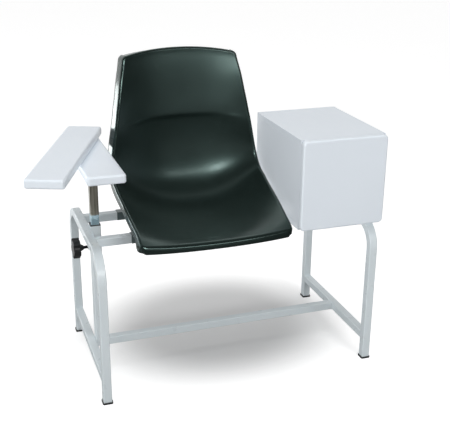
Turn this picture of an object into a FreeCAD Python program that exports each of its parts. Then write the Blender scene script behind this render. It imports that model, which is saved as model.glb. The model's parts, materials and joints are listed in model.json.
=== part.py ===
import FreeCAD, Part
import math
import os
import re
import Sketcher

doc = FreeCAD.newDocument("PhlebotomyChair")
sheet = doc.addObject("Spreadsheet::Sheet", "Sizes")

# Driving dimensions in millimetres, and angles in degrees
sizes = {
    # Frame of square tube: the depth is over the legs, the heights are above the floor
    "tube_size": 25.4,
    "tube_wall": 1.6,
    "tube_corner": 2.5,
    "bend_radius": 76.2,
    "frame_depth": 495,
    "rail_top": 474,
    "lower_rail_top": 90.8,
    "front_rail_inset": 154,
    "rail_spread": 200,
    # Plastic plugs that close tube ends, and glides that also stand on the floor
    "glide_lip": 2.8,
    "glide_height": 5,
    "plug_length": 22,
    "plug_gap": 0.1,
    "plug_rim": 3,
    # Upright socket tube that takes the arm post, with its bush and weld nut
    "socket_size": 31.75,
    "socket_wall": 2,
    "socket_corner": 3,
    "socket_rise": 4,
    "bush_flange": 3,
    "bush_length": 60,
    "bush_socket_gap": 0.1,
    "bush_post_gap": 0.3,
    "clamp_drop": 67,
    "clamp_nut_flats": 17,
    "clamp_nut_height": 8,
    # Clamp knob on a threaded stud
    "stud_radius": 5,
    "stud_hole_gap": 0.5,
    "stud_post_gap": 0.3,
    "thread_gap": 0.06,
    "knob_radius": 31.5,
    "knob_thick": 22,
    "knob_edge": 3,
    "knob_clear": 8,
    "knob_scallop_radius": 12,
    "knob_scallop_depth": 8,
    "hub_length": 11,
    "hub_inner_radius": 7,
    "hub_outer_radius": 12.5,
    "stud_bite": 12,
    # Arm post and its plate
    "post_size": 25.4,
    "post_wall": 1.6,
    "post_corner": 2.5,
    "post_in_socket": 178,
    "plate_width": 90,
    "plate_thick": 4,
    "plate_corner": 6,
    "plate_screw_inset": 13,
    "plate_screw_radius": 2.4,
    "plate_screw_head_radius": 4.6,
    "plate_screw_head_height": 3,
    "plate_screw_bite": 18,
    # Arm boards: the upper board turns about a pivot bolt behind the post
    "arm_top": 733.1,
    "board_width": 108,
    "board_thick": 26,
    "board_corner": 9,
    "board_edge": 6,
    "lower_board_length": 440,
    "upper_board_length": 540,
    "pivot_inset": 51,
    "pivot_behind_post": 157,
    "swing_at_rest": 21.2,
    "pivot_washer_radius": 25,
    "pivot_washer_thick": 2,
    "pivot_running_gap": 0.1,
    "pivot_bolt_radius": 5,
    "pivot_bolt_flats": 17,
    "pivot_bolt_head": 6.4,
    "pivot_bolt_bite": 14,
    "insert_radius": 8,
    "insert_length": 16,
    # Moulded seat shell: the widest half is over the rounded side ridges
    "arm_seat_gap": 15.7,
    "seat_depth": 416.5,
    "seat_height": 506.5,
    "seat_half_width": 236,
    "seat_overhang": 6.5,
    "seat_drop": 7,
    "seat_wall": 4.5,
    "seat_flange_out": 8,
    "seat_flange_drop": 18,
    "standoff_radius": 14,
    "seat_screw_spread": 200,
    "seat_screw_radius": 3,
    "seat_screw_head_radius": 5.2,
    "seat_screw_head_height": 4,
    "seat_screw_bite": 9,
    "seat_washer_radius": 9,
    "seat_washer_thick": 1.6,
    # Plastic saddles between the seat shell and the cross rails
    "saddle_length": 452,
    "saddle_wall": 1.5,
    "saddle_gap": 0.2,
    "saddle_edge": 1.2,
    # Storage cabinet beside the seat
    "cabinet_width": 276.5,
    "cabinet_height": 280,
    "cabinet_depth": 376.4,
    "cabinet_seat_gap": 17.1,
    "cabinet_overhang": 12.6,
    "cabinet_setback": 4.3,
    "panel_thick": 16,
    "panel_edge": 1,
    "back_thick": 18,
    "front_thick": 18,
    "front_gap": 2,
    "front_corner": 14,
    "front_edge": 6,
    "cabinet_screw_inset": 63,
    "cabinet_screw_radius": 3,
    "cabinet_screw_head_radius": 5.2,
    "cabinet_screw_head_height": 4,
    "cabinet_screw_bite": 12,
    # Drawer box
    "drawer_wall": 12,
    "drawer_base": 6,
    "drawer_floor_gap": 10,
    "drawer_head_gap": 32,
    "drawer_back_gap": 20,
    "drawer_screw_radius": 2,
    "drawer_screw_head_radius": 4,
    "drawer_screw_head_height": 2.4,
    "drawer_screw_bite": 13,
    "drawer_screw_inset": 40,
    "bumper_radius": 6,
    "bumper_thick": 1.7,
    "bumper_inset": 8,
    # Drawer slides: three nested channels on each side
    "slide_span": 12.7,
    "slide_sheet": 1.2,
    "slide_height": 45,
    "slide_flange": 7,
    "slide_gap": 0.4,
    "slide_length": 300,
    "slide_setback": 5,
    "slide_centre_height": 90,
    "slide_screw_radius": 1.9,
    "slide_screw_head_radius": 3.6,
    "slide_screw_bite": 9,
    "slide_screw_inset": 40,
    # Clearances shared by many screws, and how far cutting shapes run past a face
    "screw_hole_gap": 0.3,
    "screw_bite_gap": 0.05,
    "overrun": 2,
}

# Places and sizes that follow from the driving dimensions. X runs towards the cabinet, Y to the
# back, Z up; x and y are first counted from the middle of the four legs. The frame is as wide as
# what stands on it: the arm rest's socket, the seat and the cabinet.
places = {
    "seat_width": "2 * seat_half_width + 2 * seat_flange_out",
    "arm_side": "tube_size + socket_size / 2 + board_width / 2 + arm_seat_gap",
    "cabinet_side_width": "cabinet_seat_gap + cabinet_width - cabinet_overhang",
    "frame_width": "arm_side + seat_width + cabinet_side_width",
    "leg_centre": "frame_width / 2 - tube_size / 2",
    "leg_span": "frame_depth - tube_size",
    "leg_inner": "frame_width / 2 - tube_size",
    "tube_bore": "tube_size - 2 * tube_wall",
    "rail_bottom": "rail_top - tube_size",
    "rail_centre": "rail_top - tube_size / 2",
    "lower_rail_centre": "lower_rail_top - tube_size / 2",
    # Socket and post
    "socket_centre": "socket_size / 2 - leg_inner",
    "socket_bore": "socket_size - 2 * socket_wall",
    "socket_top": "rail_top + socket_rise",
    "clamp_height": "rail_top - clamp_drop",
    "post_foot": "socket_top - post_in_socket",
    "post_bore": "post_size - 2 * post_wall",
    "bush_bore": "post_size + 2 * bush_post_gap",
    # Arm boards
    "upper_board_bottom": "arm_top - board_thick",
    "pivot_washer_bottom": "upper_board_bottom - pivot_running_gap - pivot_washer_thick",
    "lower_board_bottom": "pivot_washer_bottom - board_thick",
    "plate_bottom": "lower_board_bottom - plate_thick",
    "lower_board_middle": "pivot_behind_post + pivot_inset - lower_board_length / 2",
    "upper_board_reach": "upper_board_length / 2 - pivot_inset",
    "upper_board_x": "socket_centre - upper_board_reach * sin(swing_at_rest)",
    "upper_board_y": "pivot_behind_post - upper_board_reach * cos(swing_at_rest)",
    "plate_screw_reach": "plate_width / 2 - plate_screw_inset",
    # Seat and its fixings
    "seat_middle": "arm_side + seat_width / 2 - frame_width / 2",
    "seat_front": "0 - frame_depth / 2 - seat_overhang",
    "seat_bottom": "rail_top - seat_drop",
    "front_rail_y": "seat_front + front_rail_inset",
    "rear_rail_y": "front_rail_y + rail_spread",
    "saddle_top": "rail_top + saddle_wall",
    # Cabinet
    "cabinet_right": "frame_width / 2 + cabinet_overhang",
    "cabinet_left": "cabinet_right - cabinet_width",
    "cabinet_middle": "cabinet_right - cabinet_width / 2",
    "cabinet_front": "cabinet_setback - frame_depth / 2",
    "cabinet_rear": "cabinet_front + cabinet_depth",
    "cabinet_top_height": "rail_top + cabinet_height",
    "case_front": "cabinet_front + front_thick + front_gap",
    "case_rear": "cabinet_rear - back_thick",
    "case_depth": "case_rear - case_front",
    "case_middle": "case_front + case_depth / 2",
    # Drawer
    "front_rear": "cabinet_front + front_thick",
    "box_rear": "case_rear - drawer_back_gap",
    "box_depth": "box_rear - front_rear",
    "box_width": "cabinet_width - 2 * panel_thick - 2 * slide_span",
    "box_inner_width": "box_width - 2 * drawer_wall",
    "box_left": "cabinet_left + panel_thick + slide_span",
    "box_bottom": "rail_top + panel_thick + drawer_floor_gap",
    "box_floor": "box_bottom + drawer_base",
    "drawer_height": "cabinet_top_height - panel_thick - drawer_head_gap - box_floor",
    "slide_front": "case_front + slide_setback",
    "slide_centre": "box_bottom + slide_centre_height",
    "nest_step": "slide_sheet + slide_gap",
    # Outer limits of the whole chair, which set its origin under the middle of its box
    "swing_across": "cos(swing_at_rest) * (board_width / 2 - board_corner)",
    "swing_ahead": "sin(swing_at_rest) * (upper_board_length / 2 - board_corner)",
    "swing_along": "cos(swing_at_rest) * (upper_board_length / 2 - board_corner)",
    "swing_aside": "sin(swing_at_rest) * (board_width / 2 - board_corner)",
    "limit_left": "upper_board_x - swing_across - swing_ahead - board_corner",
    "limit_front": "upper_board_y - swing_along - swing_aside - board_corner",
    "limit_rear": "frame_depth / 2 + glide_lip",
    "origin_x": "(limit_left + cabinet_right) / 2",
    "origin_y": "(limit_front + limit_rear) / 2",
}

# The ways a turned part can point, as a rotation axis and angle from straight up
turns = {
    "+z": (FreeCAD.Vector(1, 0, 0), 0),
    "-z": (FreeCAD.Vector(1, 0, 0), 180),
    "+x": (FreeCAD.Vector(0, 1, 0), 90),
    "-x": (FreeCAD.Vector(0, 1, 0), -90),
    "+y": (FreeCAD.Vector(1, 0, 0), -90),
    "-y": (FreeCAD.Vector(1, 0, 0), 90),
}
opposite = {"+z": "-z", "-z": "+z", "+x": "-x", "-x": "+x", "+y": "-y", "-y": "+y"}
normal_planes = {"x": "YZ_Plane", "y": "XZ_Plane", "z": "XY_Plane"}
rail_spots = ("front_rail_y", "rear_rail_y")
tiny = 1e-4

nodes = {}


def fill_sheet():
    for row, (name, number) in enumerate(sizes.items(), 1):
        sheet.set("A%d" % row, name)
        sheet.set("B%d" % row, str(number))
        sheet.setAlias("B%d" % row, name)
    doc.recompute()


# Formulas: each name in them is a cell of the sheet or one of the places above
def spell(formula):
    def cell(found):
        name = found.group()
        if name in sizes:
            return "Sizes." + name
        if name in places:
            return "(" + spell(places[name]) + ")"
        return name
    return re.sub(r"[a-z][a-z_]+", cell, str(formula))


def value(formula):
    result = sheet.evalExpression(spell(formula))
    return float(getattr(result, "Value", result))


def bind(item, target, formula):
    item.setExpression(target, spell(formula))


def place(item, at, direction="+z"):
    axis, angle = turns[direction]
    item.Placement = FreeCAD.Placement(FreeCAD.Vector(), FreeCAD.Rotation(axis, angle))
    for letter, formula, origin in zip("xyz", at, ("origin_x", "origin_y", "0")):
        bind(item, "Placement.Base." + letter, "(%s) - (%s)" % (formula, origin))
    return item


def node(item, name):
    item.Label = name
    nodes[name] = item
    return item


# Plain solids
def block(name, low, spans):
    item = doc.addObject("Part::Box", name)
    for side, span in zip(("Length", "Width", "Height"), spans):
        bind(item, side, span)
    return place(item, low)


def rod(name, at, direction, radius, length):
    item = doc.addObject("Part::Cylinder", name)
    bind(item, "Radius", radius)
    bind(item, "Height", length)
    return place(item, at, direction)


def taper(name, at, direction, near_radius, far_radius, length):
    item = doc.addObject("Part::Cone", name)
    bind(item, "Radius1", near_radius)
    bind(item, "Radius2", far_radius)
    bind(item, "Height", length)
    return place(item, at, direction)


def hexagon(name, at, direction, flats, length):
    item = doc.addObject("Part::Prism", name)
    item.Polygon = 6
    bind(item, "Circumradius", "%s / 2 / cos(30)" % flats)
    bind(item, "Height", length)
    return place(item, at, direction)


def join(name, items):
    item = doc.addObject("Part::MultiFuse", name)
    item.Shapes = items
    return item


def group(name, items):
    item = doc.addObject("Part::Compound", name)
    item.Links = items
    return item


def drill(name, blank, tools):
    item = doc.addObject("Part::Cut", name)
    item.Base = blank
    item.Tool = tools[0] if len(tools) == 1 else join(name + "_tools", tools)
    return item


# Features of a sketched body
def new_sketch(body, plane_role):
    sketch = body.newObject("Sketcher::SketchObject", "Sketch")
    plane = [feature for feature in body.Origin.OriginFeatures if feature.Role == plane_role][0]
    sketch.AttachmentSupport = [(plane, "")]
    sketch.MapMode = "FlatFace"
    return sketch


def limit(sketch, name, constraint, formula):
    index = sketch.addConstraint(constraint)
    sketch.renameConstraint(index, name)
    bind(sketch, "Constraints." + name, formula)


def rectangle(sketch, name, width, height):
    x = value(width) / 2
    y = value(height) / 2
    corners = [FreeCAD.Vector(*pair) for pair in ((-x, -y), (x, -y), (x, y), (-x, y))]
    first = sketch.GeometryCount
    for side in range(4):
        sketch.addGeometry(Part.LineSegment(corners[side], corners[(side + 1) % 4]), False)
    for side in range(4):
        following = first + (side + 1) % 4
        sketch.addConstraint(Sketcher.Constraint("Coincident", first + side, 2, following, 1))
        flat = "Horizontal" if side % 2 == 0 else "Vertical"
        sketch.addConstraint(Sketcher.Constraint(flat, first + side))
    sketch.addConstraint(Sketcher.Constraint("Symmetric", first, 1, first + 1, 2, -1, 1))
    limit(sketch, name + "Width", Sketcher.Constraint("DistanceX", first, 1, first, 2, 2 * x), width)
    tall = Sketcher.Constraint("DistanceY", first + 1, 1, first + 1, 2, 2 * y)
    limit(sketch, name + "Height", tall, height)


def pad(body, sketch, length, both_ways=True):
    feature = body.newObject("PartDesign::Pad", "Pad")
    feature.Profile = sketch
    bind(feature, "Length", length)
    if both_ways:
        feature.SideType = "Symmetric"
    doc.recompute()
    return feature


def corner_edges(feature, axis):
    # The long edges at the four outer corners of a bar along the axis
    whole = feature.Shape.BoundBox
    names = []
    for number, edge in enumerate(feature.Shape.Edges, 1):
        box = edge.BoundBox
        along = {"x": box.XLength, "y": box.YLength, "z": box.ZLength}
        if along.pop(axis) < tiny or max(along.values()) > tiny:
            continue
        sides = {
            "x": min(abs(box.XMin - whole.XMin), abs(box.XMin - whole.XMax)),
            "y": min(abs(box.YMin - whole.YMin), abs(box.YMin - whole.YMax)),
            "z": min(abs(box.ZMin - whole.ZMin), abs(box.ZMin - whole.ZMax)),
        }
        sides.pop(axis)
        if max(sides.values()) < tiny:
            names.append("Edge%d" % number)
    return names


def rim_edges(feature, axis, ends=("low", "high")):
    # The edges that lie in the flat end faces of a board, square to the axis
    whole = feature.Shape.BoundBox
    reach = {"x": (whole.XMin, whole.XMax), "y": (whole.YMin, whole.YMax), "z": (whole.ZMin, whole.ZMax)}
    wanted = [reach[axis][("low", "high").index(end)] for end in ends]
    names = []
    for number, edge in enumerate(feature.Shape.Edges, 1):
        box = edge.BoundBox
        low, high = {"x": (box.XMin, box.XMax), "y": (box.YMin, box.YMax), "z": (box.ZMin, box.ZMax)}[axis]
        if high - low < tiny and min(abs(low - place) for place in wanted) < tiny:
            names.append("Edge%d" % number)
    return names


def round_off(body, base, names, radius):
    feature = body.newObject("PartDesign::Fillet", "Fillet")
    feature.Base = (base, names)
    bind(feature, "Radius", radius)
    doc.recompute()
    return feature


def tube(name, axis, size, wall, corner, length, centre):
    body = doc.addObject("PartDesign::Body", name)
    sketch = new_sketch(body, normal_planes[axis])
    rectangle(sketch, "outer", size, size)
    bore = "%s - 2 * %s" % (size, wall)
    rectangle(sketch, "bore", bore, bore)
    bar = pad(body, sketch, length)
    round_off(body, bar, corner_edges(bar, axis), corner)
    return place(body, centre)


def board(name, axis, spans, corner, edge, centre):
    # A board square to the axis: spans are its two face sizes and its thickness
    body = doc.addObject("PartDesign::Body", name)
    sketch = new_sketch(body, normal_planes[axis])
    rectangle(sketch, "outline", spans[0], spans[1])
    shape = pad(body, sketch, spans[2])
    if corner:
        shape = round_off(body, shape, corner_edges(shape, axis), corner)
    if edge:
        round_off(body, shape, rim_edges(shape, axis), edge)
    return place(body, centre)


def end_plug(name, rim_size, rim_height, bore, corner, at):
    # A square rim with a square shank above it that fills a tube's end
    body = doc.addObject("PartDesign::Body", name)
    rim = new_sketch(body, "XY_Plane")
    rectangle(rim, "rim", rim_size, rim_size)
    pad(body, rim, rim_height, both_ways=False)
    shank = new_sketch(body, "XY_Plane")
    shank_size = "%s - 2 * plug_gap" % bore
    rectangle(shank, "shank", shank_size, shank_size)
    whole = pad(body, shank, "%s + plug_length" % rim_height, both_ways=False)
    round_off(body, whole, corner_edges(whole, "z"), corner)
    return place(body, at)


def screw(name, kind, at, direction, length):
    head = rod(name + "_head", at, opposite[direction], kind + "_head_radius", kind + "_head_height")
    shank = rod(name + "_shank", at, direction, kind + "_radius", length)
    return join(name, [head, shank])


def screw_row(name, kind, spots, direction, length):
    items = [screw("%s_%d" % (name, number), kind, spot, direction, length)
             for number, spot in enumerate(spots, 1)]
    node(group(name, items), name)


def holes(name, spots, direction, radius, length):
    return [rod("%s_%d" % (name, number), spot, direction, radius, length)
            for number, spot in enumerate(spots, 1)]


# Frame
def side_frame(name, sign):
    # One tube bent into an upright hoop: front leg, top rail and rear leg
    body = doc.addObject("PartDesign::Body", name)
    section = new_sketch(body, "XY_Plane")
    rectangle(section, "outer", "tube_size", "tube_size")
    rectangle(section, "bore", "tube_bore", "tube_bore")
    path = new_sketch(body, "YZ_Plane")
    tall = value("rail_centre - glide_height")
    deep = value("leg_span")
    bend = value("bend_radius")
    quarter = math.pi / 2
    rear_bend = Part.Circle(FreeCAD.Vector(deep - bend, tall - bend, 0), FreeCAD.Vector(0, 0, 1), bend)
    front_bend = Part.Circle(FreeCAD.Vector(bend, tall - bend, 0), FreeCAD.Vector(0, 0, 1), bend)
    path.addGeometry(Part.LineSegment(FreeCAD.Vector(), FreeCAD.Vector(0, tall - bend, 0)), False)
    path.addGeometry(Part.ArcOfCircle(front_bend, quarter, 2 * quarter), False)
    path.addGeometry(Part.LineSegment(FreeCAD.Vector(bend, tall, 0),
                                      FreeCAD.Vector(deep - bend, tall, 0)), False)
    path.addGeometry(Part.ArcOfCircle(rear_bend, 0, quarter), False)
    path.addGeometry(Part.LineSegment(FreeCAD.Vector(deep, tall - bend, 0),
                                      FreeCAD.Vector(deep, 0, 0)), False)
    for rule in (("Tangent", 0, 2, 1, 2), ("Tangent", 1, 1, 2, 1), ("Tangent", 2, 2, 3, 2),
                 ("Tangent", 3, 1, 4, 1), ("Equal", 1, 3), ("Vertical", 0), ("Horizontal", 2),
                 ("Vertical", 4), ("Coincident", 0, 1, -1, 1), ("PointOnObject", 4, 2, -1)):
        path.addConstraint(Sketcher.Constraint(*rule))
    limit(path, "bend", Sketcher.Constraint("Radius", 1, bend), "bend_radius")
    rise = Sketcher.Constraint("DistanceY", -1, 1, 2, 1, tall)
    limit(path, "rise", rise, "rail_centre - glide_height")
    limit(path, "span", Sketcher.Constraint("DistanceX", 0, 1, 4, 2, deep), "leg_span")
    pipe = body.newObject("PartDesign::AdditivePipe", "Pipe")
    pipe.Profile = section
    pipe.Spine = (path, ["Edge%d" % number for number in range(1, 6)])
    doc.recompute()
    face = value("tube_size") / 2
    corners = []
    for number, edge in enumerate(pipe.Shape.Edges, 1):
        box = edge.BoundBox
        at_face = box.XLength < tiny and abs(abs(box.Center.x) - face) < tiny
        if at_face and box.ZMax > tiny:
            corners.append("Edge%d" % number)
    round_off(body, pipe, corners, "tube_corner")
    node(place(body, (sign + "leg_centre", "0 - leg_span / 2", "glide_height")), name)


def lower_rail(name, sign):
    centre = (sign + "leg_centre", "0", "lower_rail_centre")
    length = "frame_depth - 2 * tube_size"
    node(tube(name, "y", "tube_size", "tube_wall", "tube_corner", length, centre), name)


def stretcher():
    centre = ("0", "0", "lower_rail_centre")
    node(tube("stretcher", "x", "tube_size", "tube_wall", "tube_corner", "2 * leg_inner", centre),
         "stretcher")


def seat_screw_spots(y, height):
    return [("seat_middle %s seat_screw_spread / 2" % side, y, height) for side in "-+"]


def cabinet_screw_spots(y, height):
    return [("cabinet_middle %s (cabinet_width / 2 - cabinet_screw_inset)" % side, y, height)
            for side in "-+"]


def cross_rail(name, y):
    blank = tube(name + "_blank", "x", "tube_size", "tube_wall", "tube_corner", "2 * leg_inner",
                 ("0", y, "rail_centre"))
    low = "rail_bottom - overrun"
    through = "tube_size + 2 * overrun"
    tools = holes(name + "_seat_hole", seat_screw_spots(y, low), "+z",
                  "seat_screw_radius + screw_hole_gap", through)
    tools += holes(name + "_cabinet_hole", cabinet_screw_spots(y, low), "+z",
                   "cabinet_screw_radius + screw_hole_gap", through)
    node(drill(name, blank, tools), name)


def glide(name, x_sign, y_sign):
    foot = end_plug(name, "tube_size + 2 * glide_lip", "glide_height", "tube_bore",
                    "tube_corner + glide_lip", (x_sign + "leg_centre", y_sign + "leg_span / 2", "0"))
    node(foot, name)


# Socket for the arm post
def socket():
    length = "socket_top - lower_rail_top"
    blank = tube("arm_socket_blank", "z", "socket_size", "socket_wall", "socket_corner", length,
                 ("socket_centre", "0", "lower_rail_top + (%s) / 2" % length))
    hole = rod("arm_socket_hole", ("0 - leg_inner - overrun", "0", "clamp_height"), "+x",
               "stud_radius + stud_hole_gap", "overrun + socket_size / 2")
    node(drill("arm_socket_tube", blank, [hole]), "arm_socket_tube")


def socket_bush():
    # A thin liner with a square flange that rests on the socket's mouth
    liner_size = "socket_bore - 2 * bush_socket_gap"
    liner = block("bush_liner", ("socket_centre - (%s) / 2" % liner_size, "0 - (%s) / 2" % liner_size,
                                 "socket_top - bush_length"),
                  (liner_size, liner_size, "bush_length + bush_flange"))
    flange = board("bush_flange_blank", "z", ("socket_size", "socket_size", "bush_flange"),
                   "socket_corner", None, ("socket_centre", "0", "socket_top + bush_flange / 2"))
    bore = block("bush_bore_tool", ("socket_centre - bush_bore / 2", "0 - bush_bore / 2",
                                    "socket_top - bush_length - overrun"),
                 ("bush_bore", "bush_bore", "bush_length + bush_flange + 2 * overrun"))
    node(drill("socket_bush", join("bush_blank", [liner, flange]), [bore]), "socket_bush")


def socket_nut():
    at = ("0 - leg_inner - clamp_nut_height", "0", "clamp_height")
    blank = hexagon("socket_nut_blank", at, "+x", "clamp_nut_flats", "clamp_nut_height")
    bore = rod("socket_nut_bore", ("0 - leg_inner - clamp_nut_height - overrun", "0", "clamp_height"),
               "+x", "stud_radius + thread_gap", "clamp_nut_height + 2 * overrun")
    node(drill("socket_weld_nut", blank, [bore]), "socket_weld_nut")


# Clamp knob
knob_lobes = 5


def clamp_knob():
    # A round grip with scallops that leave its lobes, and a tapered hub towards the socket
    body = doc.addObject("PartDesign::Body", "knob_grip")
    outline = new_sketch(body, "YZ_Plane")
    outline.addGeometry(Part.Circle(FreeCAD.Vector(), FreeCAD.Vector(0, 0, 1), value("knob_radius")), False)
    outline.addConstraint(Sketcher.Constraint("Coincident", 0, 3, -1, 1))
    limit(outline, "grip", Sketcher.Constraint("Radius", 0, value("knob_radius")), "knob_radius")
    pad(body, outline, "knob_thick", both_ways=False)
    scallop = new_sketch(body, "YZ_Plane")
    reach = "knob_radius + knob_scallop_radius - knob_scallop_depth"
    spot = FreeCAD.Vector(0, value(reach), 0)
    round_tool = Part.Circle(spot, FreeCAD.Vector(0, 0, 1), value("knob_scallop_radius"))
    scallop.addGeometry(round_tool, False)
    scallop.addConstraint(Sketcher.Constraint("PointOnObject", 0, 3, -2))
    limit(scallop, "reach", Sketcher.Constraint("DistanceY", -1, 1, 0, 3, value(reach)), reach)
    size = Sketcher.Constraint("Radius", 0, value("knob_scallop_radius"))
    limit(scallop, "scallop", size, "knob_scallop_radius")
    pocket = body.newObject("PartDesign::Pocket", "Scallop")
    pocket.Profile = scallop
    pocket.Type = "ThroughAll"
    pocket.SideType = "Symmetric"
    doc.recompute()
    pattern = body.newObject("PartDesign::PolarPattern", "Scallops")
    pattern.Originals = [pocket]
    pattern.Axis = (scallop, ["N_Axis"])
    pattern.Occurrences = knob_lobes
    body.Tip = pattern
    doc.recompute()
    round_off(body, pattern, rim_edges(pattern, "x"), "knob_edge")
    outer_face = "0 - frame_width / 2 - knob_clear"
    place(body, (outer_face + " - knob_thick", "0", "clamp_height"))
    hub = taper("knob_hub", (outer_face, "0", "clamp_height"), "+x", "hub_outer_radius",
                "hub_inner_radius", "hub_length")
    bore = rod("knob_bore", (outer_face + " - stud_bite", "0", "clamp_height"), "+x",
               "stud_radius + screw_bite_gap", "stud_bite + hub_length + overrun")
    node(drill("clamp_knob", join("knob_blank", [body, hub]), [bore]), "clamp_knob")


def clamp_stud():
    start = "0 - frame_width / 2 - knob_clear - stud_bite"
    tip = "socket_centre - post_size / 2 - stud_post_gap"
    node(rod("clamp_stud", (start, "0", "clamp_height"), "+x", "stud_radius",
             "(%s) - (%s)" % (tip, start)), "clamp_stud")


# Arm post, plate and lower board
def arm_post():
    length = "plate_bottom - post_foot"
    node(tube("arm_post", "z", "post_size", "post_wall", "post_corner", length,
              ("socket_centre", "0", "post_foot + (%s) / 2" % length)), "arm_post")
    node(end_plug("arm_post_plug", "post_size", "plug_rim", "post_bore", "post_corner",
                  ("socket_centre", "0", "post_foot - plug_rim")), "arm_post_plug")


def plate_screw_spots(height):
    return [("socket_centre %s plate_screw_reach" % x_side, "0 %s plate_screw_reach" % y_side, height)
            for x_side in "-+" for y_side in "-+"]


def arm_plate():
    blank = board("arm_plate_blank", "z", ("plate_width", "plate_width", "plate_thick"), "plate_corner",
                  None, ("socket_centre", "0", "plate_bottom + plate_thick / 2"))
    tools = holes("arm_plate_hole", plate_screw_spots("plate_bottom - overrun"), "+z",
                  "plate_screw_radius + screw_hole_gap", "plate_thick + 2 * overrun")
    node(drill("arm_mount_plate", blank, tools), "arm_mount_plate")
    screw_row("arm_plate_screws", "plate_screw", plate_screw_spots("plate_bottom"), "+z",
              "plate_thick + plate_screw_bite")


def lower_board():
    middle = ("socket_centre", "lower_board_middle", "lower_board_bottom + board_thick / 2")
    blank = board("lower_board_blank", "z", ("board_width", "lower_board_length", "board_thick"),
                  "board_corner", "board_edge", middle)
    tools = holes("lower_board_hole", plate_screw_spots("lower_board_bottom - overrun"), "+z",
                  "plate_screw_radius + screw_bite_gap", "overrun + plate_screw_bite + screw_bite_gap")
    tools.append(rod("lower_board_pivot_hole",
                     ("socket_centre", "pivot_behind_post", "lower_board_bottom - overrun"), "+z",
                     "pivot_bolt_radius + screw_hole_gap", "board_thick + 2 * overrun"))
    node(drill("lower_arm_board", blank, tools), "lower_arm_board")


def pivot():
    spot = ("socket_centre", "pivot_behind_post")
    disc = rod("pivot_washer_blank", spot + ("pivot_washer_bottom",), "+z", "pivot_washer_radius",
               "pivot_washer_thick")
    bore = rod("pivot_washer_bore", spot + ("pivot_washer_bottom - overrun",), "+z",
               "pivot_bolt_radius + screw_hole_gap", "pivot_washer_thick + 2 * overrun")
    node(drill("pivot_washer", disc, [bore]), "pivot_washer")
    head = hexagon("pivot_bolt_head_blank", spot + ("lower_board_bottom",), "-z", "pivot_bolt_flats",
                   "pivot_bolt_head")
    shank = rod("pivot_bolt_shank", spot + ("lower_board_bottom",), "+z", "pivot_bolt_radius",
                "upper_board_bottom + pivot_bolt_bite - lower_board_bottom")
    node(join("arm_pivot_bolt", [head, shank]), "arm_pivot_bolt")


# Upper board, which swings about the pivot bolt
def upper_board():
    middle = ("upper_board_x", "upper_board_y", "upper_board_bottom + board_thick / 2")
    blank = board("upper_board_blank", "z", ("board_width", "upper_board_length", "board_thick"),
                  "board_corner", "board_edge", middle)
    bind(blank, "Placement.Rotation.Angle", "swing_at_rest")
    blank.Placement.Rotation.Axis = FreeCAD.Vector(0, 0, -1)
    seat = rod("upper_board_hole", ("socket_centre", "pivot_behind_post", "upper_board_bottom - overrun"),
               "+z", "insert_radius + screw_bite_gap", "overrun + insert_length")
    node(drill("upper_arm_board", blank, [seat]), "upper_arm_board")
    sleeve = rod("pivot_insert_blank", ("socket_centre", "pivot_behind_post", "upper_board_bottom"), "+z",
                 "insert_radius", "insert_length")
    bore = rod("pivot_insert_bore", ("socket_centre", "pivot_behind_post", "upper_board_bottom - overrun"),
               "+z", "pivot_bolt_radius + thread_gap", "insert_length + 2 * overrun")
    node(drill("pivot_insert", sleeve, [bore]), "pivot_insert")


# Seat shell: sections across the seat, from the front lip over the seat, up the back to its top.
# Each row gives the middle of a section as shares of the seat's depth and height, its half width as
# a share, the way its face leans in degrees, and how deep it is cupped as a share of the height.
station_shares = (
    (0.007, 0.000, 0.941, 85, 0.000),
    (0.000, 0.020, 0.953, 75, 0.003),
    (0.012, 0.036, 0.962, 40, 0.010),
    (0.043, 0.044, 0.962, 12, 0.028),
    (0.142, 0.041, 0.964, 0, 0.055),
    (0.298, 0.034, 0.977, 0, 0.100),
    (0.466, 0.029, 0.986, 0, 0.143),
    (0.622, 0.031, 0.996, 8, 0.170),
    (0.754, 0.053, 1.000, 24, 0.182),
    (0.860, 0.107, 1.000, 39, 0.170),
    (0.927, 0.184, 0.996, 54, 0.150),
    (0.960, 0.276, 0.987, 71, 0.129),
    (0.973, 0.371, 0.970, 87, 0.118),
    (0.974, 0.460, 0.939, 89, 0.113),
    (0.967, 0.535, 0.911, 90, 0.106),
    (0.958, 0.572, 0.898, 90, 0.098),
    (0.950, 0.589, 0.890, 87, 0.081),
    (0.953, 0.638, 0.872, 85, 0.078),
    (0.963, 0.717, 0.843, 85, 0.073),
    (0.975, 0.815, 0.809, 85, 0.065),
    (0.989, 0.914, 0.773, 85, 0.056),
    (0.998, 0.977, 0.754, 94, 0.053),
    (1.000, 1.000, 0.720, 115, 0.058),
)
across_shares = (0, 0.3, 0.55, 0.75, 0.9, 1)
cup_power = 2.4


def section_points(station):
    # The upper curve of a section and the curve one wall below it, as (across, outward) pairs
    half = station[2] * value("seat_half_width")
    cup = station[4] * value("seat_height")
    wall = value("seat_wall")
    flange = (value("seat_flange_out"), 0 - value("seat_flange_drop"))
    flange_length = math.hypot(*flange)
    inward = (flange[1] / flange_length, 0 - flange[0] / flange_length)
    upper = []
    under = []
    for share in across_shares:
        rise = cup * share ** cup_power
        slope = cup * cup_power * share ** (cup_power - 1) / half
        steep = math.hypot(1, slope)
        normal = (slope / steep, 0 - 1 / steep)
        upper.append((share * half, rise))
        if share < 1:
            under.append((share * half + wall * normal[0], rise + wall * normal[1]))
    # The wall turns over the ridge into the flange, with a mitred inner corner
    scale = wall / (1 + normal[0] * inward[0] + normal[1] * inward[1])
    under.append((half + scale * (normal[0] + inward[0]), cup + scale * (normal[1] + inward[1])))
    tip = (half + flange[0], cup + flange[1])
    inner_tip = (tip[0] + wall * inward[0], tip[1] + wall * inward[1])
    return upper, under, tip, inner_tip


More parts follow.
